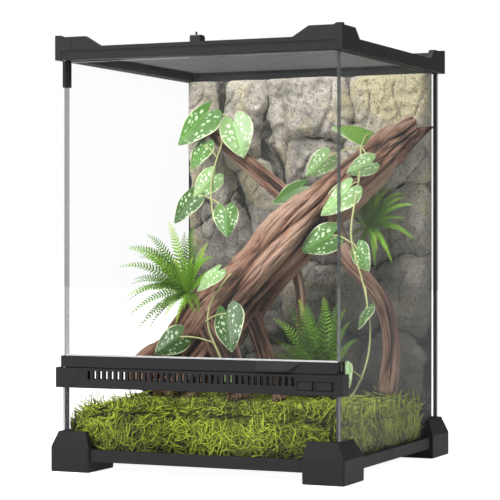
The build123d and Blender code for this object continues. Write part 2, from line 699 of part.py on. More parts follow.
with BuildPart() as moss_bed:
    deep_in = glass_i - bead - soil_gap
    block(-deep_in, deep_in, -deep_in, 110.0, floor_top + 0.1, floor_top + bead + 1)
    block(-glass_i + soil_gap, glass_i - soil_gap, moss_front, 110.0,
          floor_top + bead + soil_gap, moss_z)
    for x, y, r, h in mounds:
        for z, low, up, part_h in ((moss_z, 1.0, 0.72, 0.6), (moss_z + 0.6 * h, 0.72, 0.3, 0.4)):
            with BuildSketch(Plane.XY.offset(z)):
                with Locations((x, y)):
                    RegularPolygon(low * r, 9)
            with BuildSketch(Plane.XY.offset(z + part_h * h)):
                with Locations((x, y)):
                    RegularPolygon(up * r, 9)
            loft(ruled=True)
    block(-glass_o, glass_o, -glass_o, moss_front, 0, 200, mode=Mode.SUBTRACT)
    block(glass_i - soil_gap, 200, -glass_o, glass_o, 0, 200, mode=Mode.SUBTRACT)
    block(-200, -glass_i + soil_gap, -glass_o, glass_o, 0, 200, mode=Mode.SUBTRACT)
    add(driftwood.part, mode=Mode.SUBTRACT)
    add(rock_background.part, mode=Mode.SUBTRACT)
save(moss_bed.part, "moss_bed")


# ---------------------------------------------------------------- artificial plants
def fern(rows, width, name, keep_clear):
    """A plug with arching, pointed fronds, each of two panels with a bend between."""
    crown = point(rows[0])
    with BuildPart() as plant:
        with Locations(crown):
            Cylinder(plug_r, 2 * plug_r + 2)
        for row in rows[1:]:
            reach = point(row) - crown
            bend = crown + reach * 0.55 + Vector(0, 0, 0.2 * reach.length)
            side = across(reach)
            for start, end, near, far in ((crown, bend, 0.3, 1.0), (bend, crown + reach, 1.0, 0.1)):
                run = end - start
                with BuildSketch(Plane(origin=start, x_dir=side, z_dir=side.cross(run))):
                    outline([
                        (-near * width / 2, 0), (near * width / 2, 0),
                        (far * width / 2, run.length), (-far * width / 2, run.length),
                    ])
                extrude(amount=leaf_t / 2, both=True)
        for other in keep_clear:
            add(other.part, mode=Mode.SUBTRACT)
    save(plant.part, name)
    return plant


def vine(stem, leaves, name, keep_clear):
    """A trailing stem with heart-shaped leaves on short stalks."""
    with BuildPart() as plant:
        for i, row in enumerate(stem):
            heading = way(stem, i)
            with BuildSketch(Plane(origin=point(row), x_dir=across(heading),
                                   z_dir=heading)):
                RegularPolygon(twig_r, 6)
        loft(ruled=True)
        for x, y, z, dx, dz, size, node in leaves:
            along = Vector(dx, -0.35 * hypot(dx, dz), dz).normalized()
            face = along.cross(Vector(0, 1, 0)).cross(along).normalized()
            width = 0.74 * size
            heart = Plane(origin=Vector(x, y, z), x_dir=face.cross(along), z_dir=face)
            with BuildSketch(heart):
                outline([
                    (0, -0.5 * size), (0.3 * width, -0.28 * size), (0.5 * width, 0.02 * size),
                    (0.46 * width, 0.3 * size), (0.24 * width, 0.44 * size), (0, 0.34 * size),
                    (-0.24 * width, 0.44 * size), (-0.46 * width, 0.3 * size),
                    (-0.5 * width, 0.02 * size), (-0.3 * width, -0.28 * size),
                ])
            extrude(amount=leaf_t / 2, both=True)
            stalk = [tuple(point(stem[node])), tuple(Vector(x, y, z) - along * 0.3 * size)]
            for i in range(2):
                with BuildSketch(Plane(origin=point(stalk[i]), x_dir=across(way(stalk, i)),
                                       z_dir=way(stalk, i))):
                    RegularPolygon(0.9, 6)
            loft(ruled=True)
        for other in keep_clear:
            add(other.part, mode=Mode.SUBTRACT)
    save(plant.part, name)
    return plant


fern_left = fern(fern_a, 17.0, "fern_left", [driftwood])
fern_upper_right = fern(fern_b, 13.0, "fern_upper_right", [driftwood])
fern_lower_right = fern(fern_c, 15.0, "fern_lower_right", [driftwood])

# vines: stem points, then leaves as centre, lie of the tip, length and stem point
vine_a = [
    (-86, 112, 374), (-83, 94, 345), (-86, 84, 326), (-89, 76, 302), (-88, 72, 280),
    (-79, 60, 256),
]
leaves_a = [
    (-113, 88, 365, -20, -24, 52, 0), (-62, 84, 351, 11, -24, 48, 1),
    (-108, 84, 330, -8, -18, 36, 2), (-101, 74, 298, -12, -15, 36, 3),
    (-116, 66, 272, -11, -18, 44, 4), (-62, 56, 256, 4, -17, 38, 4),
]
vine_b = [
    (-22, -3, 206), (-32, -42, 180), (-34, -56, 150), (-26, -52, 128), (-12, -60, 108),
]
leaves_b = [
    (-44, -46, 196, -6, -16, 30, 1), (-8, -62, 142, 7, -24, 48, 2),
    (-84, -62, 118, -15, -13, 36, 3), (-4, -68, 98, 5, -12, 26, 4),
]
vine_c = [
    (90, 66, 330), (96, 50, 296), (94, 34, 262), (96, 22, 232), (118, 8, 186),
    (128, 2, 134), (124, -14, 92),
]
leaves_c = [
    (40, 62, 318, -10, -10, 34, 0), (78, 92, 352, -24, 9, 44, 0), (64, 30, 236, -18, -10, 42, 3),
    (76, 38, 278, -18, -19, 48, 1), (112, 14, 216, 9, -13, 34, 3),
    (110, 60, 322, -13, -9, 32, 0), (122, -6, 156, -6, -15, 28, 4), (110, -26, 96, 4, -12, 26, 6),
]
vine_left = vine(vine_a, leaves_a, "vine_left", [driftwood])
vine_middle = vine(vine_b, leaves_b, "vine_middle", [driftwood])
vine_right = vine(vine_c, leaves_c, "vine_right", [driftwood, fern_upper_right])
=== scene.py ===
"""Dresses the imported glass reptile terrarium: glass, plastics, rock wall, moss, driftwood and plants."""

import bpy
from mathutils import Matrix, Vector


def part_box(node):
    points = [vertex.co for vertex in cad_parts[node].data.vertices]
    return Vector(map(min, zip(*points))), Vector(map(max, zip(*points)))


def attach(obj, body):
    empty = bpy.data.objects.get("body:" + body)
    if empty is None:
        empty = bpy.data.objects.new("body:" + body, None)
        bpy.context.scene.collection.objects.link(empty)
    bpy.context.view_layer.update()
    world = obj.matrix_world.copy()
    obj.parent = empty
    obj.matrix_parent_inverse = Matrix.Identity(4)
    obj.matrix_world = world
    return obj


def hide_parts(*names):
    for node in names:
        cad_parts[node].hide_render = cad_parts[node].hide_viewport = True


bl_info = {
    "name": "Glass reptile terrarium",
    "version": (1, 0, 0),
    "blender": (4, 5, 0),
    "location": "View3D > Sidebar > Terrarium",
    "description": "Builds the furnished look of a front-opening glass terrarium on its packed frame",
    "category": "Object",
}

from math import cos, exp, pi, radians, sin, sqrt
from random import Random

import bpy
from mathutils import Matrix, Vector, noise

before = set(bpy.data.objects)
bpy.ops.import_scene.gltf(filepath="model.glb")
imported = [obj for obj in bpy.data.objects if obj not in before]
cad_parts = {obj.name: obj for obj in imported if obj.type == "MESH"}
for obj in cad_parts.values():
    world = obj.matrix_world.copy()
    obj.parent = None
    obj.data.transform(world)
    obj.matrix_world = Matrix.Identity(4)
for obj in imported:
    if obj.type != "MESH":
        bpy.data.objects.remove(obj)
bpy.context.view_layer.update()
MM = 0.001

# ------------------------------------------------------------------ places, in millimetres
INSIDE = 145.4              # half width between the side panes
MOSS_FRONT = -145.4
MOSS_BACK = 112.0
FLOOR = 18.4
ROCK_FACE = 131.0
ROCK_BACK = 144.8
ROCK_LOW = 21.4
ROCK_HIGH = 415.3
ROCK_HALF = 144.4           # half width of the rock's plate
MOSS_TOP = 83.5             # no strand rises above this
RUNNER, STALK = 1.05, 0.8   # radii of a vine's stems
THIRD_TURN = 2.094          # between the three sides of a strand

# boulders of the rock wall: x, z, half width, half height, depth, lean in degrees
BOULDERS = [
    (-128, 372, 22, 70, 8, 4), (-112, 300, 30, 60, 9, -6), (-74, 372, 24, 62, 13, -4),
    (-34, 392, 14, 66, 7, 6), (10, 388, 44, 50, 18, 12), (-60, 300, 20, 34, 8, 20),
    (10, 318, 34, 34, 9, -12), (106, 366, 54, 84, 12, -8),
    (62, 306, 34, 34, 8, 10), (-30, 262, 34, 34, 12, -10), (-100, 232, 36, 34, 12, 12),
    (-48, 200, 34, 32, 14, -8), (12, 236, 34, 34, 12, 8), (70, 240, 34, 34, 10, -12),
    (122, 250, 30, 42, 13, 6), (-112, 160, 36, 40, 13, -6), (-50, 140, 36, 32, 12, 10),
    (8, 168, 36, 36, 15, -6), (66, 176, 34, 36, 12, 10), (122, 170, 32, 44, 14, -8),
    (-108, 92, 40, 34, 13, 8), (-40, 84, 42, 32, 14, -6), (30, 96, 40, 36, 15, 4),
    (98, 96, 42, 36, 13, -10), (-70, 40, 60, 26, 12, 3), (60, 40, 70, 26, 13, -3),
]
# mounds of the moss: x, y, radius, height
MOUNDS = [
    (-104, -112, 34, 8), (-66, -118, 34, 10), (-28, -116, 34, 12), (22, -120, 30, 10),
    (66, -116, 30, 12), (112, -114, 30, 9), (-112, -62, 30, 12), (-124, -8, 22, 12),
    (-112, 48, 30, 12), (-60, 74, 30, 10), (-8, 70, 30, 8), (44, 76, 28, 10),
    (112, 76, 28, 12), (116, 18, 26, 11), (40, -70, 24, 8), (104, -62, 28, 11),
]
# driftwood limbs: centre and radius from the high end to the low end
TRUNK = [
    (135, 117, 355, 13), (122, 109, 342, 17), (107, 98, 327, 19), (75, 76, 297, 21),
    (44, 54, 261, 24), (11, 34, 224, 28), (-16, 16, 187, 30), (-47, 0, 149, 33),
    (-74, -10, 116, 36), (-96, -18, 86, 38), (-104, -22, 66, 37),
]
BRANCH = [
    (-112, 109, 361, 4), (-94, 105, 349, 6.5), (-77, 100, 337, 8), (-34, 84, 308, 8.5),
    (14, 62, 276, 9.5), (34, 54, 262, 11),
]
ROOT = [
    (60, 56, 262, 9), (81, 46, 219, 9), (105, 44, 194, 8.5), (124, 46, 168, 8),
    (131, 52, 130, 8), (128, 54, 96, 9), (124, 54, 72, 11),
]
STUBS = [
    [(-46, -18, 150, 20), (-20, -36, 112, 14), (-6, -42, 84, 12), (-2, -44, 68, 13)],
    [(-22, 12, 172, 9), (-2, 2, 140, 9), (14, -8, 108, 8), (26, -12, 84, 7), (32, -14, 66, 8)],
    [(24, 40, 214, 5), (36, 30, 180, 5), (42, 18, 140, 4.5), (52, 10, 100, 4.5), (58, 6, 70, 6)],
]
# ferns: crown, then the tips of the fronds
FERN_LEFT = [
    (-74, -18, 176), (-134, -58, 206), (-130, -50, 226), (-116, -30, 240), (-96, -20, 254),
    (-72, -6, 248), (-132, -58, 172), (-112, -60, 140), (-66, -62, 146), (-44, -60, 158),
    (-18, -40, 196), (-46, -24, 232), (-118, -44, 216), (-104, -50, 190), (-120, -58, 188),
    (-84, -56, 148), (-58, -50, 214), (-90, -40, 222), (-34, -36, 216), (-126, -56, 152),
]
FERN_UPPER_RIGHT = [
    (92, 90, 248), (61, 100, 276), (80, 104, 300), (113, 104, 290), (139, 100, 272),
    (140, 92, 236), (122, 80, 210), (84, 78, 206), (62, 84, 226), (98, 96, 302),
    (128, 96, 284), (134, 90, 256), (104, 76, 204), (70, 92, 250), (66, 96, 292),
]
FERN_LOWER_RIGHT = [
    (70, 10, 76), (18, 0, 152), (42, 12, 172), (66, 22, 174), (92, 20, 162), (112, 4, 132),
    (26, -22, 116), (100, -30, 104), (50, -40, 108), (54, 4, 168), (30, 8, 164), (80, 26, 168),
    (34, -10, 136), (106, -10, 118), (76, -36, 108), (20, -24, 100), (60, -20, 140),
]
# vines: stem points
VINE_STEMS = {
    "vine_left": [(-86, 108, 374), (-83, 94, 345), (-86, 84, 326), (-89, 76, 302), (-88, 72, 280),
                  (-79, 60, 256)],
    "vine_middle": [(-22, -3, 206), (-32, -42, 180), (-34, -56, 150), (-26, -54, 128), (-12, -60, 108),
                    (-10, -60, 80)],
    "vine_right": [(90, 70, 334), (96, 50, 296), (94, 34, 262), (96, 22, 232), (118, 8, 186),
                   (128, 2, 134), (124, -14, 92), (112, -20, 72)],
}
# leaves: vine, centre, run in x and z, length, stem point or place, tone, turn in degrees
LEAVES = [
    ("vine_left", (-115, 88, 363), (-20, -24), 56, 0, 1, 14),
    ("vine_left", (-61, 84, 350), (11, -24), 54, 1, 2, -12),
    ("vine_left", (-108, 84, 330), (-8, -18), 38, 2, 1, 18),
    ("vine_left", (-95, 74, 296), (-12, -15), 38, 3, 2, -10),
    ("vine_left", (-116, 66, 272), (-11, -18), 44, 4, 0, 16),
    ("vine_left", (-62, 56, 256), (4, -17), 38, 4, 1, -20),
    ("vine_middle", (-34, -48, 194), (-12, -12), 34, 1, 2, 30),
    ("vine_middle", (-6, -62, 144), (7, -24), 50, 2, 0, 8),
    ("vine_middle", (-72, -62, 127), (-15, -11), 38, 3, 0, -12),
    ("vine_middle", (-4, -68, 98), (5, -12), 26, 4, 2, 10),
    ("vine_right", (45, 62, 315), (-10, -10), 36, 0, 2, -24),
    ("vine_right", (74, 92, 352), (-24, 7), 46, 0, 3, 52),
    ("vine_right", (59, 30, 233), (-18, -10), 44, 3, 1, -8),
    ("vine_right", (76, 38, 278), (-18, -19), 48, 1, 2, 12),
    ("vine_right", (112, 14, 216), (9, -13), 34, 3, 1, 14),
    ("vine_right", (96, 56, 312), (-15, -7), 33, 0, 2, -20),
    ("vine_right", (122, -6, 156), (-6, -15), 28, 4, 0, 40),
    ("vine_right", (110, -26, 96), (4, -12), 26, 6, 2, 30),
    ("vine_right", (17, 48, 285), (-22, -12), 42, (44, 50, 274), 4, 30),
]


# panes, each with the axis through its thickness
GLASS_AXES = {
    "bottom_glass": 2, "left_glass": 0, "right_glass": 0, "back_glass": 1, "front_glass": 1,
    "door_glass": 1,
}
# nodes that get a form of their own below
DRESSED = {
    "lid_mesh", "rock_background", "moss_bed", "driftwood", "fern_left", "fern_upper_right",
    "fern_lower_right", "vine_left", "vine_middle", "vine_right",
}


# ------------------------------------------------------------------ sizes and colours
def length_property(name, about, value):
    """A length that a user can change."""
    return bpy.props.FloatProperty(
        name=name, description=about, default=value, unit="LENGTH", precision=5)


def colour_property(name, about, value):
    """A colour that a user can change."""
    return bpy.props.FloatVectorProperty(
        name=name, description=about, default=value, subtype="COLOR", size=3)


class TerrariumSizes(bpy.types.PropertyGroup):
    """Sizes that a user would change."""

    net_cells: bpy.props.IntProperty(
        name="Net cells", description="Openings of the lid's net along one side",
        default=104, min=20)
    net_wire: length_property("Net wire", "Thickness of one wire of the net", 0.00055)
    strand_length: length_property("Moss strand", "Usual length of a strand of moss", 0.021)
    strand_radius: length_property(
        "Moss thickness", "Radius of a strand of moss at its root", 0.00085)
    frond_pairs: bpy.props.IntProperty(
        name="Leaflet pairs", description="Pairs of leaflets on a fern's frond",
        default=22, min=6)
    leaf_thickness: length_property("Leaf thickness", "Thickness of a vine's leaf", 0.0006)


class TerrariumColours(bpy.types.PropertyGroup):
    """Colours that a user would change."""

    plastic: colour_property("Plastic", "Frames, feet, rail and keys", (0.016, 0.016, 0.017))
    rock: colour_property("Rock", "Body of the rock wall", (0.60, 0.555, 0.48))
    # The lichen colour is partly painted highlight: it is laid mostly on the rock's raised parts.
    lichen: colour_property("Lichen", "Yellowish bloom on the rock's edges", (0.68, 0.61, 0.38))
    wood: colour_property("Driftwood", "Lit ridges of the driftwood", (0.27, 0.135, 0.085))
    moss: colour_property("Moss", "Bright strands of the moss", (0.50, 0.62, 0.035))
    fern: colour_property("Fern", "Young fronds of the ferns", (0.15, 0.33, 0.015))
    leaf: colour_property("Leaf", "Green of the vines' leaves", (0.085, 0.22, 0.035))


# ------------------------------------------------------------------ making and finishing meshes
def place(x, y, z):
    """A place given in millimetres, as a vector in metres."""
    return Vector((x * MM, y * MM, z * MM))


def clamp(value, low, high):
    """A value kept between two limits."""
    return max(low, min(high, value))


def add(name, data):
    """A new object in the scene."""
    obj = bpy.data.objects.new(name, data)
    bpy.context.collection.objects.link(obj)
    return obj


def clear_selection():
    """Leave edit mode and deselect everything."""
    if bpy.context.mode != "OBJECT":
        bpy.ops.object.mode_set(mode="OBJECT")
    bpy.ops.object.select_all(action="DESELECT")


def pick(obj):
    """Make one object the only selected and active one."""
    clear_selection()
    obj.select_set(True)
    bpy.context.view_layer.objects.active = obj


def sheet(name, across, along, shape):
    """A grid whose points are moved to shape(u, v), with u and v from 0 to 1."""
    clear_selection()
    bpy.ops.mesh.primitive_grid_add(x_subdivisions=across, y_subdivisions=along, size=1.0)
    obj = bpy.context.object
    obj.name = name
    for vertex in obj.data.vertices:
        vertex.co = shape(vertex.co.x + 0.5, vertex.co.y + 0.5)
    return obj


def mark(obj, name, values):
    """Store a value on each point of a mesh."""
    obj.data.attributes.new(name, "FLOAT", "POINT").data.foreach_set("value", values)


def edit(obj, step, **options):
    """Run one edit step on the whole of a mesh."""
    pick(obj)
    bpy.ops.object.mode_set(mode="EDIT")
    bpy.ops.mesh.select_all(action="SELECT")
    step(**options)
    bpy.ops.object.mode_set(mode="OBJECT")


def weld(obj, distance=1e-6):
    """Merge doubled points and turn the faces outward."""
    edit(obj, bpy.ops.mesh.remove_doubles, threshold=distance)
    edit(obj, bpy.ops.mesh.normals_make_consistent, inside=False)


def close_sheet(obj, axis, push, level):
    """Draw the rim of a sheet out to a level along one axis and close it there."""
    pick(obj)
    bpy.ops.object.mode_set(mode="EDIT")
    bpy.ops.mesh.select_all(action="DESELECT")
    bpy.ops.mesh.select_mode(type="EDGE")
    bpy.ops.mesh.select_non_manifold()
    bpy.ops.mesh.extrude_region_move(TRANSFORM_OT_translate={"value": push})
    bpy.ops.object.mode_set(mode="OBJECT")
    for vertex in obj.data.vertices:
        if vertex.select:
            vertex.co[axis] = level * MM
    bpy.ops.object.mode_set(mode="EDIT")
    bpy.ops.mesh.edge_face_add()
    bpy.ops.object.mode_set(mode="OBJECT")
    weld(obj)


def thicken(obj, thickness):
    """Give a sheet a wall and apply it."""
    pick(obj)
    bpy.ops.object.modifier_add(type="SOLIDIFY")
    modifier = obj.modifiers[-1]
    modifier.thickness = thickness
    modifier.offset = 0.0
    bpy.ops.object.modifier_apply(modifier=modifier.name)


def join(pieces, name):
    """Join finished meshes into one piece."""
    clear_selection()
    for piece in pieces:
        piece.select_set(True)
    bpy.context.view_layer.objects.active = pieces[0]
    if len(pieces) > 1:
        bpy.ops.object.join()
    obj = bpy.context.view_layer.objects.active
    obj.name = name
    obj.data.name = name
    return obj


def smooth(obj, angle=180):
    """Shade faces smooth, up to an angle between them."""
    pick(obj)
    if angle >= 180:
        bpy.ops.object.shade_smooth()
    else:
        bpy.ops.object.shade_smooth_by_angle(angle=radians(angle))


def coat(obj, material):
    """Give a piece one material."""
    obj.data.materials.clear()
    obj.data.materials.append(material)


def finish(obj, body, node, material=None):
    """Hang a piece on its body and the node it stands for."""
    pick(obj)
    bpy.ops.object.transform_apply(location=True, rotation=True, scale=True)
    if material:
        coat(obj, material)
    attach(obj, body)
    if node:
        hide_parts(node)


def spline_point(rows, t):
    """Place, radius and direction on a smooth path through rows of x, y, z and radius."""
    last = len(rows) - 1
    span = min(int(t * last), last - 1)
    f = t * last - span
    a, b, c, d = (Vector(rows[clamp(span + k, 0, last)]) for k in (-1, 0, 1, 2))
    square = 2 * a - 5 * b + 4 * c - d
    cube = 3 * b - a - 3 * c + d
    value = 0.5 * (2 * b + (c - a) * f + square * f * f + cube * f ** 3)
    slope = 0.5 * ((c - a) + 2 * square * f + 3 * cube * f * f)
    return Vector(value[:3]), value[3], Vector(slope[:3]).normalized()


def stem(name, rows, radius):
    """A round stem along a smooth curve, closed at both ends."""
    curve = bpy.data.curves.new(name, "CURVE")
    curve.dimensions = "3D"
    spline = curve.splines.new("NURBS")
    spline.points.add(len(rows) - 1)
    for point, row in zip(spline.points, rows):
        point.co = (*place(*row), 1.0)
    spline.order_u = 3
    spline.use_endpoint_u = True
    spline.resolution_u = 6
    curve.bevel_depth = radius * MM
    curve.bevel_resolution = 2
    curve.use_fill_caps = True
    pick(add(name, curve))
    bpy.ops.object.convert(target="MESH")
    obj = bpy.context.object
    weld(obj, 2e-5)
    return obj


# ------------------------------------------------------------------ materials
class Finish:
    """A material's node tree with a principled shader."""

    def __init__(self, name, roughness, specular):
        self.material = bpy.data.materials.new(name)
        self.material.use_nodes = True
        self.tree = self.material.node_tree
        self.shader = self.tree.nodes["Principled BSDF"]
        self.shader.inputs["Roughness"].default_value = roughness
        self.shader.inputs["Specular IOR Level"].default_value = specular
        self.coords = self.tree.nodes.new("ShaderNodeTexCoord")

    def node(self, kind, **inputs):
        """A node with its named inputs set to values or linked to sockets."""
        made = self.tree.nodes.new(kind)
        for key, value in inputs.items():
            self.feed(made.inputs[key.replace("_", " ")], value)
        return made

    def feed(self, socket, value):
        """Set a socket, or link it where the value is itself a socket."""
        if isinstance(value, bpy.types.NodeSocket):
            self.tree.links.new(value, socket)
        else:
            socket.default_value = value

    def noise(self, scale, detail=4.0, vector=None, roughness=0.55, distortion=0.0):
        """Fractal noise, on object coordinates unless told otherwise."""
        made = self.node("ShaderNodeTexNoise", Scale=scale, Detail=detail, Roughness=roughness,
                         Distortion=distortion)
        self.feed(made.inputs["Vector"], vector or self.coords.outputs["Object"])
        return made.outputs["Fac"]

    def component(self, kind, axis):
        """One component of the object, normal or UV coordinates."""
        split = self.node("ShaderNodeSeparateXYZ", Vector=self.coords.outputs[kind])
        return split.outputs[axis]

    def stretch(self, scale, vector=None):
        """Coordinates scaled unevenly."""
        made = self.node("ShaderNodeMapping", Scale=scale)
        self.feed(made.inputs["Vector"], vector or self.coords.outputs["Object"])
        return made.outputs["Vector"]

    def ramp(self, factor, *stops):
        """A colour ramp from (position, colour) stops."""
        made = self.node("ShaderNodeValToRGB", Fac=factor)
        bar = made.color_ramp
        while len(bar.elements) < len(stops):
            bar.elements.new(0.5)
        for element, (position, colour) in zip(bar.elements, stops):
            element.position = position
            element.color = (*colour, 1.0) if len(colour) == 3 else colour
        return made.outputs["Color"]

    def grey(self, factor, low, high, at=(0.0, 1.0)):
        """A ramp between two grey levels."""
        return self.ramp(factor, (at[0], (low,) * 3), (at[1], (high,) * 3))

    def mix(self, factor, one, two, blend="MIX"):
        """Mix of two colours."""
        made = self.tree.nodes.new("ShaderNodeMix")
        made.data_type = "RGBA"
        made.blend_type = blend
        for index, value in ((0, factor), (6, one), (7, two)):
            if isinstance(value, tuple) and len(value) == 3:
                value = (*value, 1.0)
            self.feed(made.inputs[index], value)
        return made.outputs[2]

    def sum(self, one, two, how="ADD"):
        """Arithmetic on two values."""
        made = self.tree.nodes.new("ShaderNodeMath")
        made.operation = how
        self.feed(made.inputs[0], one)
        self.feed(made.inputs[1], two)
        return made.outputs[0]

    def attribute(self, name):
        """A value stored on the mesh's points."""
        made = self.tree.nodes.new("ShaderNodeAttribute")
        made.attribute_name = name
        return made.outputs["Fac"]

    def colour(self, value):
        self.feed(self.shader.inputs["Base Color"], value)

    def roughness(self, value):
        self.feed(self.shader.inputs["Roughness"], value)

    def bump(self, height, strength, distance):
        made = self.node("ShaderNodeBump", Strength=strength, Distance=distance, Height=height)
        self.feed(self.shader.inputs["Normal"], made.outputs["Normal"])


def tint(colour, gain):
    """A colour made lighter or darker."""
    return tuple(min(1.0, c * gain) for c in colour)


def plastic_finish(name, colour, roughness=0.55):
    """Moulded plastic: even tone, fine grain and a faint cloud in its gloss."""
    made = Finish(name, roughness, 0.12)
    cloud = made.noise(14.0, 3.0)
    made.colour(made.mix(cloud, tint(colour, 0.86), tint(colour, 1.16)))
    made.roughness(made.grey(made.noise(60.0, 4.0), roughness - 0.06, roughness + 0.1))
    made.bump(made.noise(2600.0, 2.0), 0.12, 0.0002)
    return made.material


def glass_finish(name, edge_axis):
    """Clear float glass: nearly clear on its faces, whiter at grazing angles as a painted reflection,
    grey-green on its ground edges.
    """
    made = Finish(name, 0.03, 0.5)
    made.shader.inputs["IOR"].default_value = 1.5
    face = made.sum(made.component("Normal", edge_axis), 0.0, "ABSOLUTE")
    on_face = made.sum(face, 0.5, "GREATER_THAN")
    # Painted reflection: the faces become more opaque and whiter towards grazing angles.
    slant = made.node("ShaderNodeLayerWeight", Blend=0.5)
    painted_sheen = made.sum(made.sum(slant.outputs["Facing"], 3.0, "POWER"), 0.12, "MULTIPLY")
    cloud = made.noise(9.0, 3.0, made.stretch((1.0, 1.0, 0.35)))
    smear = made.grey(cloud, 0.004, 0.012, (0.35, 0.7))
    clear = made.sum(painted_sheen, smear)
    opening = made.node("ShaderNodeMapRange", Value=on_face)
    made.feed(opening.inputs["To Min"], 0.72)
    made.feed(opening.inputs["To Max"], clear)
    made.feed(made.shader.inputs["Alpha"], opening.outputs["Result"])
    made.colour(made.mix(on_face, (0.07, 0.08, 0.08), (0.80, 0.86, 0.85)))
    return made.material


def rubber_finish(name, colour, roughness):
    """Silicone or rubber: soft, slightly uneven."""
    made = Finish(name, roughness, 0.35)
    made.colour(made.mix(made.noise(120.0, 3.0), tint(colour, 0.8), tint(colour, 1.15)))
    made.bump(made.noise(700.0, 2.0), 0.15, 0.0003)
    return made.material


def steel_finish():
    """Drawn steel wire for the hinge pins."""
    made = Finish("hinge_pin_steel", 0.3, 0.5)
    made.shader.inputs["Metallic"].default_value = 1.0
    streak = made.noise(900.0, 3.0, made.stretch((1.0, 1.0, 0.05)))
    made.colour(made.mix(streak, (0.42, 0.42, 0.44), (0.72, 0.72, 0.74)))
    made.roughness(made.grey(streak, 0.22, 0.42))
    return made.material


def rock_finish(colours):
    """Cast rock: grey body, ochre bloom on raised parts that is partly painted highlight, dark pits,
    painted shade in cracks and hollows, and painted shade towards the bottom.
    """
    made = Finish("cast_rock", 0.85, 0.25)
    relief = made.attribute("relief")
    body = made.mix(made.grey(made.noise(34.0, 8.0, roughness=0.7), 0.0, 1.0, (0.3, 0.68)),
                    tint(colours.rock, 0.42), tint(colours.rock, 1.35))
    # The ochre bloom is the rock's own colour, but it is laid mostly on the raised parts as a painted
    # highlight.
    bloom = made.grey(made.noise(16.0, 5.0, distortion=0.8), 0.0, 1.0, (0.48, 0.64))
    raised = made.grey(relief, 0.15, 1.0, (0.35, 0.8))
    body = made.mix(made.sum(bloom, raised, "MULTIPLY"), body, tuple(colours.lichen))
    grit = made.noise(420.0, 6.0, roughness=0.8)
    body = made.mix(made.grey(grit, 1.0, 0.0, (0.36, 0.5)), body, tint(colours.rock, 0.22))
    pits = made.node("ShaderNodeTexVoronoi", Scale=160.0, Vector=made.coords.outputs["Object"])
    pitted = made.grey(pits.outputs["Distance"], 0.6, 0.0, (0.0, 0.22))
    body = made.mix(pitted, body, tint(colours.rock, 0.3))
    # Painted shade: low relief, in the cracks and hollows, darkens the rock.
    body = made.mix(1.0, body, made.grey(relief, 0.10, 1.0, (0.14, 0.56)), "MULTIPLY")
    # Painted shade: the rock is darkened towards the bottom of the tank, where less light reaches it.
    painted_low_shade = made.grey(made.component("Object", "Z"), 0.24, 1.0, (0.13, 0.33))
    made.colour(made.mix(1.0, body, painted_low_shade, "MULTIPLY"))
    made.bump(made.sum(grit, made.noise(130.0, 8.0)), 0.9, 0.0030)
    return made.material


def wood_finish(colours):
    """Weathered driftwood: ridges lighter as painted highlight over dark red-brown grooves darkened as
    painted shade, streaked along the limb.
    """
    made = Finish("driftwood_grain", 0.78, 0.25)
    relief = made.attribute("relief")
    lengthwise = made.stretch((34.0, 5.0, 1.0), made.coords.outputs["UV"])
    grain = made.noise(1.6, 8.0, lengthwise, 0.65, 0.4)
    streak = made.noise(4.5, 6.0, lengthwise, 0.7, 0.2)
    # Painted light: high relief turns the tone light as painted highlight, low relief turns it dark as
    # painted shade in the grooves.
    level = made.sum(made.sum(relief, 0.62, "MULTIPLY"), made.sum(grain, 0.5, "MULTIPLY"))
    tone = made.ramp(level, (0.42, tint(colours.wood, 0.05)), (0.54, tint(colours.wood, 0.30)),
                     (0.64, tuple(colours.wood)), (0.86, (0.44, 0.29, 0.21)))
    tone = made.mix(made.grey(streak, 0.75, 0.0, (0.34, 0.5)), tone, tint(colours.wood, 0.14))
    made.colour(tone)
    made.bump(made.sum(made.sum(streak, 1.2, "MULTIPLY"), grain), 0.9, 0.0024)
    return made.material


def moss_finish(name, colours, gain):
    """Moss: each strand has its own tone, darker at its root."""
    made = Finish(name, 0.7, 0.25)
    tone = made.attribute("tone")
    blotch = made.noise(26.0, 3.0)
    level = made.sum(made.sum(tone, 0.70, "MULTIPLY"), made.sum(blotch, 0.55, "MULTIPLY"))
    bright = tint(colours.moss, gain)
    made.colour(made.ramp(level, (0.40, tint(bright, 0.03)), (0.58, tint(bright, 0.30)),
                          (0.78, bright), (0.98, (0.82, 0.86, 0.12))))
    made.bump(made.noise(900.0, 3.0), 0.3, 0.0004)
    return made.material


def fern_finish(name, colour, gain):
    """Fern fronds: bright young tips, deep green towards the crown, a fine vein grain."""
    made = Finish(name, 0.5, 0.3)
    tone = made.attribute("tone")
    level = made.sum(tone, made.sum(made.noise(30.0, 3.0), 0.35, "MULTIPLY"))
    bright = tint(colour, gain)
    made.colour(made.ramp(level, (0.15, tint(bright, 0.14)), (0.55, tint(bright, 0.55)),
                          (0.85, bright), (1.0, (0.50, 0.68, 0.07))))
    made.bump(made.noise(800.0, 3.0), 0.25, 0.0004)
    return made.material


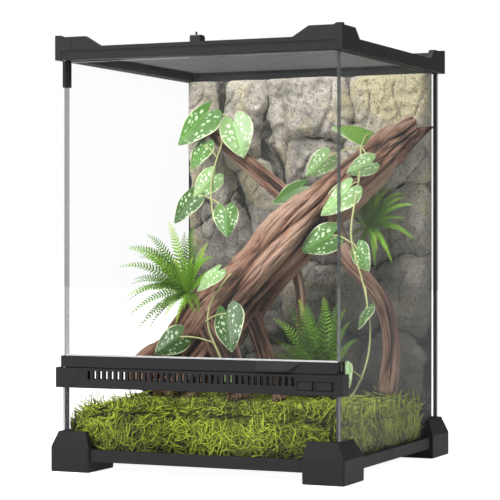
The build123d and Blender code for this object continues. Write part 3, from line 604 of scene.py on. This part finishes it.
def leaf_finish(name, green, silver, spots):
    """Silver-splashed leaf: green blade, cream margin, pale midrib and irregular silver spots."""
    made = Finish(name, 0.38, 0.45)
    uv = made.coords.outputs["UV"]
    off_middle = made.sum(made.component("UV", "X"), 0.5, "SUBTRACT")
    side = made.sum(made.sum(off_middle, 0.0, "ABSOLUTE"), 2.0, "MULTIPLY")
    blade = made.mix(made.noise(5.0, 3.0, uv), tint(green, 0.7), tint(green, 1.35))
    ribs = made.node("ShaderNodeTexWave", Scale=2.2, Distortion=1.0,
                     Vector=made.stretch((2.0, 3.4, 1.0), uv)).outputs["Fac"]
    blade = made.mix(made.grey(ribs, 0.0, 0.35, (0.55, 1.0)), blade, tint(green, 0.6))
    if spots > 0:
        cells = made.node("ShaderNodeTexVoronoi", Scale=9.5, Randomness=1.0)
        warp = made.mix(0.14, uv, made.node("ShaderNodeTexNoise", Scale=7.0, Vector=uv).outputs["Color"])
        made.feed(cells.inputs["Vector"], made.stretch((1.0, 1.35, 1.0), warp))
        least = 0.17 + 0.16 * spots
        fleck = made.grey(cells.outputs["Distance"], 1.0, 0.0, (least, least + 0.12))
        gate = made.grey(made.noise(6.0, 2.0, uv), 0.0, 1.0, (0.34, 0.46))
        off_rib = made.grey(side, 0.0, 1.0, (0.1, 0.24))
        mask = made.sum(made.sum(fleck, gate, "MULTIPLY"), off_rib, "MULTIPLY")
        blade = made.mix(mask, blade, silver)
    rib = made.grey(side, 0.55, 0.0, (0.015, 0.06))
    blade = made.mix(rib, blade, tint(green, 2.0))
    margin = made.grey(side, 0.0, 1.0, (0.93, 0.965))
    notch = made.grey(made.component("UV", "Y"), 1.0, 0.0, (0.01, 0.03))
    made.colour(made.mix(made.sum(margin, notch, "MAXIMUM"), blade, (0.72, 0.76, 0.48)))
    made.bump(made.sum(ribs, made.noise(30.0, 3.0, uv)), 0.2, 0.0006)
    return made.material


def stem_finish():
    """Vine stems: pale yellow-green, faintly ringed."""
    made = Finish("vine_stem", 0.5, 0.3)
    rings = made.noise(160.0, 3.0, made.stretch((0.4, 0.4, 1.0)))
    made.colour(made.mix(rings, (0.30, 0.30, 0.12), (0.52, 0.55, 0.24)))
    made.bump(rings, 0.3, 0.0004)
    return made.material


def net_finish():
    """Coated steel net."""
    made = Finish("lid_net_wire", 0.5, 0.4)
    made.colour(made.mix(made.noise(90.0, 3.0), (0.07, 0.07, 0.072), (0.17, 0.17, 0.175)))
    made.roughness(made.grey(made.noise(300.0, 2.0), 0.4, 0.65))
    return made.material


# ------------------------------------------------------------------ operators
class TERRARIUM_OT_plastics(bpy.types.Operator):
    """Give the frames, feet, rails, keys, latch, seals and pins their finishes"""

    bl_idname = "terrarium.plastics"
    bl_label = "Dress plastics and seals"

    def execute(self, context):
        colour = tuple(context.scene.terrarium_colours.plastic)
        frames = plastic_finish("frame_plastic", colour)
        keys = plastic_finish("key_plastic", tint(colour, 1.12), 0.5)
        seals = rubber_finish("clear_silicone", (0.035, 0.036, 0.038), 0.4)
        strip = rubber_finish("door_strip", (0.40, 0.41, 0.41), 0.5)
        cord = rubber_finish("net_cord", (0.03, 0.03, 0.03), 0.7)
        steel = steel_finish()
        special = {
            "left_lock_key": keys, "right_lock_key": keys, "lid_latch_bolt": keys,
            "silicone_seams": seals, "door_gasket": strip, "lid_spline": cord,
            "upper_hinge_pin": steel, "lower_hinge_pin": steel,
        }
        for name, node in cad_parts.items():
            if name in GLASS_AXES or name in DRESSED:
                continue
            coat(node, special.get(name, frames))
        return {"FINISHED"}


class TERRARIUM_OT_glazing(bpy.types.Operator):
    """Give the panes clear faces and ground edges"""

    bl_idname = "terrarium.glazing"
    bl_label = "Dress glass panes"

    def execute(self, context):
        finishes = [glass_finish("pane_glass_x", 0), glass_finish("pane_glass_y", 1),
                    glass_finish("pane_glass_z", 2)]
        for name, axis in GLASS_AXES.items():
            coat(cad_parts[name], finishes[axis])
        return {"FINISHED"}


class TERRARIUM_OT_net(bpy.types.Operator):
    """Weave the lid's net from crossing wires"""

    bl_idname = "terrarium.net"
    bl_label = "Weave lid net"

    def execute(self, context):
        sizes = context.scene.terrarium_sizes
        low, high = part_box("lid_mesh")
        span = high.x - low.x
        pitch = span / sizes.net_cells
        middle = (low + high) / 2
        count = sizes.net_cells - 1
        pieces = []
        for turn in (0, 1):
            clear_selection()
            bpy.ops.mesh.primitive_cube_add(size=1.0)
            wire = bpy.context.object
            for vertex in wire.data.vertices:
                along = vertex.co.x * span
                across = vertex.co.y * sizes.net_wire + (0.5 - count / 2) * pitch
                up = vertex.co.z * sizes.net_wire * 0.8 + (0.3 - 0.6 * turn) * sizes.net_wire
                flat = (across, along) if turn else (along, across)
                vertex.co = (middle.x + flat[0], middle.y + flat[1], middle.z + up)
            pick(wire)
            bpy.ops.object.modifier_add(type="ARRAY")
            row = wire.modifiers[-1]
            row.count = count
            row.use_relative_offset = False
            row.use_constant_offset = True
            row.constant_offset_displace = (pitch, 0, 0) if turn else (0, pitch, 0)
            bpy.ops.object.modifier_apply(modifier=row.name)
            pieces.append(wire)
        net = join(pieces, "lid_net")
        weld(net, 1e-7)
        finish(net, "lid", "lid_mesh", net_finish())
        return {"FINISHED"}


def rock_depth(x, z):
    """How far the rock stands out of its plate in millimetres, and how raised it looks, 0 to 1."""
    def grain(across, up, seed):
        return noise.noise(Vector((x * across, z * up, seed)))

    at = Vector((x * 0.019, z * 0.015, 3.0))
    fine = Vector((x * 0.07, z * 0.06, 11.0))
    bend_x = x + 15.0 * noise.noise(at) + 5.0 * noise.noise(fine)
    bend_z = z + 15.0 * noise.noise(at + Vector((7.1, 2.3, 0)))
    bend_z += 5.0 * noise.noise(fine + Vector((3, 9, 0)))
    best = second = -3.0
    for i, (bx, bz, rx, rz, deep, lean) in enumerate(BOULDERS):
        if abs(bend_x - bx) > 80 or abs(bend_z - bz) > 90:
            continue
        c, s = cos(radians(lean)), sin(radians(lean))
        dx, dz = bend_x - bx, bend_z - bz
        u, w = (dx * c + dz * s) / rx, (dz * c - dx * s) / rz
        far = (abs(u) ** 3.2 + abs(w) ** 3.2) ** (1 / 3.2)
        height = deep * (1.0 - max(0.0, far) ** 5) + 3.0 * u * cos(2.4 * i) + 3.0 * w * sin(2.4 * i)
        if height > best:
            second, best = best, height
        elif height > second:
            second = height
    best = max(best, -2.5)
    crack = min(1.0, (best - max(second, -2.5)) / 3.0)
    ridge = 1.0 - 2.0 * abs(grain(0.030, 0.022, 21.0))
    chip = 1.0 - 2.0 * abs(grain(0.075, 0.060, 31.0))
    rough = 3.0 * ridge + 1.9 * chip + 1.6 * grain(0.15, 0.12, 5.0)
    rough += 0.8 * grain(0.33, 0.30, 9.0) + 0.4 * noise.noise(Vector((x, z, 9.0)) * 0.8)
    vein = abs(grain(0.026, 0.017, 14.0))
    split = max(0.0, 1.0 - vein / 0.035)
    depth = best + rough - 3.0 - 3.0 * split - 2.4 * (1.0 - crack)
    # Low values in cracks and splits become painted shade in the rock's finish; high values carry its
    # ochre bloom, partly painted highlight.
    raised = 0.22 + 0.03 * best + 0.085 * rough + 0.16 * crack - 0.5 * split - 0.25 * (1 - crack)
    return clamp(depth, -2.5, 18.5), clamp(raised, 0.0, 1.0)


class TERRARIUM_OT_rock(bpy.types.Operator):
    """Shape the rock wall behind the furnishing"""

    bl_idname = "terrarium.rock"
    bl_label = "Shape rock wall"

    def execute(self, context):
        def shape(u, v):
            x = -ROCK_HALF + 2 * ROCK_HALF * u
            z = ROCK_LOW + (ROCK_HIGH - ROCK_LOW) * v
            depth = rock_depth(x, z)[0]
            edge = min(1.0, (ROCK_HALF - abs(x)) / 6.0, (ROCK_HIGH - z) / 5.0)
            pull = 6.0 * (1.0 - max(0.0, edge)) ** 2
            return place(x, ROCK_FACE - depth + pull, z)

        rock = sheet("rock_wall", 190, 250, shape)
        mark(rock, "relief",
             [rock_depth(p.co.x / MM, p.co.z / MM)[1] for p in rock.data.vertices])
        close_sheet(rock, 1, (0, 0.01, 0), ROCK_BACK)
        for vertex, item in zip(rock.data.vertices, rock.data.attributes["relief"].data):
            if vertex.co.y > (ROCK_BACK - 0.5) * MM:
                item.value = 0.5
        smooth(rock, 60)
        colours = context.scene.terrarium_colours
        finish(rock, "tank", "rock_background", rock_finish(colours))
        return {"FINISHED"}


def moss_level(x, y):
    """Height of the moss bed's surface, in millimetres."""
    level = 63.0 + 4.0 * noise.noise(Vector((x * 0.028, y * 0.028, 2.0)))
    for mx, my, radius, height in MOUNDS:
        gap = ((x - mx) ** 2 + (y - my) ** 2) / radius ** 2
        if gap < 1.0:
            level += height * (1.0 - gap) ** 1.5 * 0.8
    level -= 26.0 * exp(-((x + 147.0) / 15.0) ** 2)
    level -= 8.0 * exp(-((x - 147.0) / 12.0) ** 2)
    return min(level, 78.0)


def strands(name, spots, seed, sizes):
    """Thousands of curling tapered strands rooted at the given spots.

    They are written point by point, because no modifier gives closed strands this light.
    """
    draw = Random(seed)
    points, faces, tones = [], [], []
    rings = 6
    for root, normal, rise, tone in spots:
        length = sizes.strand_length / MM * draw.uniform(0.5, 1.3)
        radius = sizes.strand_radius / MM * draw.uniform(0.65, 1.25)
        loose = Vector((draw.gauss(0, 1), draw.gauss(0, 1), draw.gauss(0.45, 1)))
        along = (loose - normal * loose.dot(normal)).normalized()
        side = normal.cross(along)
        curl = draw.uniform(-0.75, 0.75)
        wave = draw.uniform(-0.12, 0.12)
        tone *= draw.uniform(0.72, 1.1)
        start = len(points)
        for ring in range(rings + 1):
            t = ring / rings
            spot = root + along * (length * (t - 0.25 * abs(curl) * t * t))
            spot = spot + side * (length * (curl * t * t + wave * sin(7.0 * t)))
            spot = spot + normal * (length * rise * t * t)
            if ring == rings:
                points.append(spot)
                tones.append(tone)
                break
            thin = radius * (1.0 - 0.6 * t)
            for k in range(3):
                a = THIRD_TURN * k + 0.4 * ring
                points.append(spot + side * (thin * cos(a)) + normal * (thin * sin(a)))
                tones.append(tone * (0.6 + 0.4 * t))
        for ring in range(rings - 1):
            for k in range(3):
                a, b = start + 3 * ring + k, start + 3 * ring + (k + 1) % 3
                faces.append((a, b, b + 3, a + 3))
        last = start + 3 * rings - 3
        faces += [(last + k, last + (k + 1) % 3, last + 3) for k in range(3)]
        faces.append((start + 2, start + 1, start))
    mesh = bpy.data.meshes.new(name)
    mesh.from_pydata([(p.x * MM, p.y * MM, p.z * MM) for p in points], [], faces)
    obj = add(name, mesh)
    mark(obj, "tone", tones)
    edit(obj, bpy.ops.mesh.normals_make_consistent, inside=False)
    smooth(obj)
    for vertex in obj.data.vertices:
        x, y, z = vertex.co
        vertex.co = (clamp(x, -INSIDE * MM, INSIDE * MM), max(MOSS_FRONT * MM, y),
                     clamp(z, FLOOR * MM, MOSS_TOP * MM))
    return obj


class TERRARIUM_OT_moss(bpy.types.Operator):
    """Lay the moss bed and its strands"""

    bl_idname = "terrarium.moss"
    bl_label = "Lay moss"

    def execute(self, context):
        sizes = context.scene.terrarium_sizes
        colours = context.scene.terrarium_colours

        def shape(u, v):
            x = -INSIDE + 6.0 + (2 * INSIDE - 12.0) * u
            y = MOSS_FRONT + 7.5 + (MOSS_BACK - MOSS_FRONT - 7.5) * v
            rough = 2.0 * noise.noise(Vector((x * 0.14, y * 0.14, 4.0)))
            return place(x, y, moss_level(x, y) - 5.0 + rough)

        bed = sheet("moss_bed_body", 90, 80, shape)
        close_sheet(bed, 2, (0, 0, -0.01), FLOOR)
        smooth(bed, 70)
        # The bed under the strands gets a low tone and a gain of 0.3: painted shade in the gaps between
        # strands.
        mark(bed, "tone", [0.35] * len(bed.data.vertices))
        finish(bed, "tank", "moss_bed", moss_finish("moss_under_painted_shade", colours, 0.3))

        draw = Random(41)
        up = Vector((0, 0, 1))
        top, front, sides = [], [], []
        for _ in range(5200):
            x = draw.uniform(-INSIDE + 1, INSIDE - 1)
            y = MOSS_FRONT + 2 + (MOSS_BACK - MOSS_FRONT - 4) * draw.random() ** 1.35
            deep = draw.random()
            z = moss_level(x, y) - 6.0 * deep
            # Strands rooted deeper in the bed get a lower tone: painted shade inside the moss.
            top.append((Vector((x, y, z)), up, draw.uniform(0.0, 0.4) * (1 - deep), 1.0 - 0.55 * deep))
        for _ in range(3400):
            x = draw.uniform(-INSIDE + 1, INSIDE - 1)
            deep = draw.random() ** 0.8
            y = MOSS_FRONT + 0.9 + 7.0 * deep
            z = FLOOR + 1.5 + (moss_level(x, y) + 1.0 - FLOOR) * draw.random()
            # Front strands rooted further back from the glass get a lower tone, and all grow darker
            # towards the floor: painted shade.
            low = 0.72 + 0.28 * min(1.0, (z - FLOOR) / 30.0)
            front.append((Vector((x, y, z)), Vector((0, -1, 0)), 0.0, (1.0 - 0.75 * deep) * low))
        for _ in range(4200):
            side = draw.choice((-1, 1))
            y = draw.uniform(MOSS_FRONT + 1, MOSS_BACK - 2)
            deep = draw.random() ** 0.8
            x = side * (INSIDE - 0.9 - 5.5 * deep)
            z = FLOOR + 1.5 + (moss_level(x, y) - 2.0 - FLOOR) * draw.random()
            # Side strands rooted further in get a lower tone: painted shade.
            sides.append((Vector((x, y, z)), Vector((side, 0, 0)), 0.0, 1.0 - 0.75 * deep))
        # Gains 0.95 and 0.85 darken the front and side strands against the top ones: painted shade on the
        # bed's front and sides.
        for name, spots, seed, gain in (("moss_top_strands", top, 5, 1.0),
                                        ("moss_front_strands", front, 6, 0.95),
                                        ("moss_side_strands", sides, 7, 0.85)):
            piece = strands(name, spots, seed, sizes)
            finish(piece, "tank", None, moss_finish(name, colours, gain))
        return {"FINISHED"}


def limb(name, rows, around, along, phase, depth, broken=False):
    """One limb of the driftwood: a closed form with grooves that run lengthwise."""
    spots = [Vector(row[:3]) for row in rows]
    length = sum((b - a).length for a, b in zip(spots, spots[1:]))

    def surface(u, v):
        centre, radius, heading = spline_point(rows, min(0.9999, v))
        side = heading.cross(Vector((0, 1, 0))).normalized()
        up = side.cross(heading)
        a = 2 * pi * u
        s = v * length
        ring = Vector((cos(a), sin(a), 0))
        broad = noise.noise(ring * 1.1 + Vector((phase, 0, s * 0.014)))
        groove = abs(noise.noise(ring * 2.0 + Vector((0, phase, s * 0.012))))
        fine = abs(noise.noise(ring * 6.0 + Vector((phase, 3, s * 0.026))))
        hair = noise.noise(ring * 16.0 + Vector((3, phase, s * 0.035)))
        swell = 1.0 + depth * (0.9 * broad + 1.5 * min(0.3, groove) - 0.35 + 0.7 * min(0.25, fine)
                               + 0.10 * hair)
        cap = 3.0 if broken else 0.6 * radius + 2.0
        close = min(1.0, v * length / cap, (1.0 - v) * length / (0.6 * radius + 2.0))
        close = sqrt(max(0.0, 1.0 - (1.0 - close) ** 2))
        ragged = 6.0 + 24.0 * noise.noise(ring * 1.9 + Vector((9, 2, 0)))
        split = close * max(0.0, 1.0 - s / 20.0) * ragged
        # How raised each point is; the finish paints high points lighter as painted highlight and grooves
        # darker as painted shade.
        raised = 0.25 + 1.25 * min(0.3, groove) + 0.9 * min(0.25, fine) + 0.45 * broad + 0.12 * hair
        spot = centre + (side * cos(a) + up * sin(a)) * (radius * swell * close)
        if broken:
            spot -= heading * split
        return spot, clamp(raised, 0.0, 1.0)

    obj = sheet(name, around, along, lambda u, v: surface(u, v)[0] * MM)
    columns = around + 1
    mark(obj, "relief", [surface((i % columns) / around, (i // columns) / along)[1]
                         for i in range(len(obj.data.vertices))])
    weld(obj, 1e-5)
    return obj


class TERRARIUM_OT_driftwood(bpy.types.Operator):
    """Carve the driftwood with its branches"""

    bl_idname = "terrarium.driftwood"
    bl_label = "Carve driftwood"

    def execute(self, context):
        pieces = [limb("driftwood_trunk", TRUNK, 140, 300, 0.0, 0.46, True),
                  limb("driftwood_branch", BRANCH, 48, 150, 4.0, 0.34),
                  limb("driftwood_root", ROOT, 48, 150, 8.0, 0.3)]
        for i, rows in enumerate(STUBS):
            pieces.append(limb(f"driftwood_stub_{i}", rows, 48, 70, 12.0 + i, 0.3))
        wood = join(pieces, "driftwood_form")
        smooth(wood, 70)
        colours = context.scene.terrarium_colours
        finish(wood, "tank", "driftwood", wood_finish(colours))
        return {"FINISHED"}


def flat_frond(pairs):
    """A straight frond one unit long, with pointed leaflets in pairs along a thin rib."""
    def leaflet(u, v):
        w = sin(pi * min(1.0, 0.06 + 0.94 * v) ** 0.8) ** 0.7 if v < 1 else 0.0
        tooth = 1.0 + 0.14 * sin(22.0 * v)
        return Vector((v, (u - 0.5) * 0.28 * w * tooth, 0.05 * v * (1 - v) - 0.12 * abs(u - 0.5) * w))

    blank = sheet("fern_leaflet", 2, 7, leaflet)
    weld(blank)
    pieces = []
    for i in range(pairs):
        t = 0.07 + 0.92 * i / (pairs - 1)
        reach = 0.076 * (sin(pi * min(1.0, t ** 0.62)) ** 0.75) + 0.012
        for side in (-1, 1):
            twin = add("fern_leaflet_copy", blank.data.copy())
            lean = radians(66 - 20 * t)
            for vertex in twin.data.vertices:
                x, y, z = vertex.co
                forward = x * reach * cos(lean) + y * reach * sin(lean)
                out = x * reach * sin(lean) - y * reach * cos(lean)
                vertex.co = (t + forward - 0.02, side * out, z * reach + 0.004 * (1 if i % 2 else -1))
            pieces.append(twin)
    bpy.data.objects.remove(blank)
    frond = join(pieces, "fern_frond")
    thicken(frond, 0.0045)
    clear_selection()
    bpy.ops.mesh.primitive_cylinder_add(vertices=5, radius=1.0, depth=1.0)
    rib = bpy.context.object
    for vertex in rib.data.vertices:
        t = vertex.co.z + 0.5
        thin = 0.0075 * (1.0 - 0.75 * t)
        vertex.co = (t * 0.99, vertex.co.x * thin, vertex.co.y * thin)
    edit(rib, bpy.ops.mesh.subdivide, number_cuts=5)
    frond = join([frond, rib], "fern_frond")
    weld(frond, 1e-7)
    return frond


class TERRARIUM_OT_ferns(bpy.types.Operator):
    """Set the three ferns"""

    bl_idname = "terrarium.ferns"
    bl_label = "Set ferns"

    def execute(self, context):
        colour = tuple(context.scene.terrarium_colours.fern)
        blank = flat_frond(context.scene.terrarium_sizes.frond_pairs)
        # The gains give lit and shaded copies of one green: painted light on the upper right fern, painted
        # shade on the lower right one.
        plans = (("fern_left", FERN_LEFT, 1.25, 11), ("fern_upper_right", FERN_UPPER_RIGHT, 2.0, 12),
                 ("fern_lower_right", FERN_LOWER_RIGHT, 0.8, 13))
        for name, rows, gain, seed in plans:
            draw = Random(seed)
            crown = Vector(rows[0])
            fronds = []
            for i in range(2 * len(rows) - 2):
                row = Vector(rows[1 + i // 2])
                if i % 2:
                    row = crown + (row - crown) * 0.8
                    row += Vector((draw.uniform(-14, 14), draw.uniform(-6, 6), draw.uniform(-12, 12)))
                reach = row - crown
                size = reach.length
                arch = size * draw.uniform(0.12, 0.2)
                sway = size * draw.uniform(-0.06, 0.06)
                facing = Vector((draw.uniform(-0.3, 0.3), -0.8, 0.5))
                twin = add("fern_frond_copy", blank.data.copy())
                young = draw.uniform(-0.05, 0.5)
                mark(twin, "tone", [young + 0.38 * p.co.x for p in twin.data.vertices])
                level = reach.cross(Vector((0, 0, 1)))
                level = level.normalized() if level.length > 1e-6 else Vector((1, 0, 0))
                for vertex in twin.data.vertices:
                    t, across, thick = vertex.co
                    bend = 4 * arch * t * (1 - t)
                    spot = crown + reach * t + Vector((0, 0, bend)) + level * (sway * sin(pi * t))
                    heading = (reach + Vector((0, 0, 4 * arch * (1 - 2 * t)))).normalized()
                    side = heading.cross(facing).normalized()
                    normal = side.cross(heading)
                    cup = 0.25 * abs(across) * size
                    spot = spot + side * (across * size * 1.1) + normal * (thick * size + cup)
                    vertex.co = spot * MM
                fronds.append(twin)
            fern = join(fronds, name + "_fronds")
            smooth(fern, 50)
            for vertex in fern.data.vertices:
                vertex.co.x = clamp(vertex.co.x, -INSIDE * MM, INSIDE * MM)
            finish(fern, "tank", name, fern_finish(name + "_green", colour, gain))
        bpy.data.objects.remove(blank)
        return {"FINISHED"}


def heart_leaf(name, base, heading, length, turn, sizes, draw):
    """A heart-shaped leaf from its stalk's end along its heading, folded and drooping."""
    facing = Vector((0, -1, 0.12))
    side = heading.cross(facing).normalized()
    side = Matrix.Rotation(radians(turn), 3, heading) @ side
    normal = side.cross(heading)
    width = 0.43 * length * draw.uniform(0.95, 1.05)
    cup = draw.uniform(0.16, 0.3)
    droop = draw.uniform(0.08, 0.16)

    def blade(u, v):
        s, t = 2 * u - 1, 1.0 - v
        half = width * max(0.0, sin(pi * (0.12 + 0.88 * t) ** 0.62)) ** 0.85
        lobe = 0.26 * length * (1.0 - t) ** 2.5 * max(0.0, sin(2.67 * abs(s))) ** 0.8
        wave = 0.02 * length * sin(9.0 * v + 3.0 * s) * abs(s)
        lift = -cup * abs(s) * half + droop * length * (t * (0.6 - t)) + wave
        spot = base + heading * (length * t - lobe) + side * (s * half) + normal * lift
        return spot * MM

    obj = sheet(name, 14, 18, blade)
    weld(obj, 1e-7)
    thicken(obj, sizes.leaf_thickness)
    return obj


class TERRARIUM_OT_vines(bpy.types.Operator):
    """Trail the vines over the wood"""

    bl_idname = "terrarium.vines"
    bl_label = "Trail vines"

    def execute(self, context):
        sizes = context.scene.terrarium_sizes
        green = tuple(context.scene.terrarium_colours.leaf)
        tones = [
            leaf_finish("leaf_dark", tint(green, 0.5), (0.50, 0.64, 0.42), 0.42),
            leaf_finish("leaf_mid", tint(green, 0.92), (0.56, 0.70, 0.46), 0.5),
            leaf_finish("leaf_pale", (0.22, 0.38, 0.13), (0.66, 0.76, 0.56), 0.6),
            leaf_finish("leaf_plain", (0.11, 0.25, 0.025), (0.3, 0.4, 0.1), 0.0),
            leaf_finish("leaf_shade", (0.04, 0.11, 0.012), (0.3, 0.4, 0.1), 0.0),
        ]
        bark = stem_finish()
        draw = Random(23)
        for vine, rows in VINE_STEMS.items():
            runner = stem(vine + "_runner", rows, RUNNER)
            runner.data.materials.append(bark)
            pieces = [runner]
            for i, (owner, centre, run, length, joint, tone, turn) in enumerate(LEAVES):
                if owner != vine:
                    continue
                forward = -0.35 * sqrt(run[0] ** 2 + run[1] ** 2)
                heading = Vector((run[0], forward, run[1])).normalized()
                base = Vector(centre) - heading * (0.34 * length)
                leaf = heart_leaf(
                    f"{vine}_leaf_{i}", base, heading, 0.86 * length, turn, sizes, draw)
                leaf.data.materials.append(tones[tone])
                near = Vector(joint if isinstance(joint, tuple) else rows[joint])
                middle = (near + base) / 2 + Vector((0, -1, 4))
                stalk = stem(f"{vine}_stalk_{i}", [near, middle, base + heading], STALK)
                stalk.data.materials.append(bark)
                pieces += [leaf, stalk]
            whole = join(pieces, vine + "_trail")
            smooth(whole, 60)
            finish(whole, "tank", vine)
        return {"FINISHED"}


class TERRARIUM_OT_stage(bpy.types.Operator):
    """Set the floor, the light and the camera"""

    bl_idname = "terrarium.stage"
    bl_label = "Set stage"

    def execute(self, context):
        clear_selection()
        bpy.ops.mesh.primitive_plane_add(size=14.0, location=(0, 0, -0.0002))
        floor = bpy.context.object
        floor.name = "studio_floor"
        paper = Finish("studio_paper", 0.9, 0.0)
        paper.colour((0.86, 0.86, 0.86, 1))
        paper.feed(paper.shader.inputs["Emission Color"], (1, 1, 1, 1))
        rays = paper.node("ShaderNodeLightPath").outputs
        seen = paper.sum(rays["Is Camera Ray"], rays["Is Glossy Ray"], "MAXIMUM")
        paper.feed(paper.shader.inputs["Emission Strength"], paper.sum(seen, 0.95, "MULTIPLY"))
        coat(floor, paper.material)

        world = bpy.data.worlds.new("studio")
        context.scene.world = world
        world.use_nodes = True
        tree = world.node_tree
        back = tree.nodes["Background"]
        back.inputs["Color"].default_value = (1, 1, 1, 1)
        rays = tree.nodes.new("ShaderNodeLightPath")
        level = tree.nodes.new("ShaderNodeMapRange")
        tree.links.new(rays.outputs["Is Camera Ray"], level.inputs["Value"])
        level.inputs["To Min"].default_value = 0.34
        level.inputs["To Max"].default_value = 1.0
        tree.links.new(level.outputs["Result"], back.inputs["Strength"])

        lamps = (
            ("key", (-0.9, -2.0, 1.3), (-0.02, 0, 0.2), 0.8, 48.0),
            ("lid_lamp", (-0.02, -0.16, 0.80), (0.0, 0.04, 0.30), 0.28, 7.5),
            ("fill", (1.6, -0.8, 0.6), (0, 0, 0.2), 1.2, 0.8),
        )
        for name, spot, aim, size, power in lamps:
            lamp = bpy.data.lights.new(name, "AREA")
            lamp.size = size
            lamp.energy = power
            obj = add(name, lamp)
            obj.location = spot
            obj.rotation_euler = (Vector(aim) - Vector(spot)).to_track_quat("-Z", "Y").to_euler()

        lens = bpy.data.cameras.new("photo_camera")
        lens.sensor_width = 36.0
        lens.lens = 141.27
        lens.shift_y = -0.016
        lens.clip_end = 50.0
        camera = add("photo_camera", lens)
        camera.location = (0.829414, -1.897062, 0.232307)
        camera.rotation_euler = (pi / 2, 0, 0.416)
        context.scene.camera = camera
        context.scene.view_settings.view_transform = "Standard"
        return {"FINISHED"}


class TERRARIUM_PT_panel(bpy.types.Panel):
    """Lists the steps that build the look"""

    bl_idname = "TERRARIUM_PT_panel"
    bl_label = "Terrarium"
    bl_space_type = "VIEW_3D"
    bl_region_type = "UI"
    bl_category = "Terrarium"

    def draw(self, context):
        for step in STEPS:
            self.layout.operator(step.bl_idname)


STEPS = (
    TERRARIUM_OT_plastics, TERRARIUM_OT_glazing, TERRARIUM_OT_net, TERRARIUM_OT_rock,
    TERRARIUM_OT_moss, TERRARIUM_OT_driftwood, TERRARIUM_OT_ferns, TERRARIUM_OT_vines,
    TERRARIUM_OT_stage,
)
CLASSES = (TerrariumSizes, TerrariumColours, *STEPS, TERRARIUM_PT_panel)


def register():
    for item in CLASSES:
        bpy.utils.register_class(item)
    bpy.types.Scene.terrarium_sizes = bpy.props.PointerProperty(type=TerrariumSizes)
    bpy.types.Scene.terrarium_colours = bpy.props.PointerProperty(type=TerrariumColours)


def unregister():
    del bpy.types.Scene.terrarium_colours
    del bpy.types.Scene.terrarium_sizes
    for item in reversed(CLASSES):
        bpy.utils.unregister_class(item)


def main():
    """Build the whole look."""
    register()
    for step in STEPS:
        group, name = step.bl_idname.split(".")
        getattr(getattr(bpy.ops, group), name)()
    clear_selection()


if __name__ == "__main__":
    main()
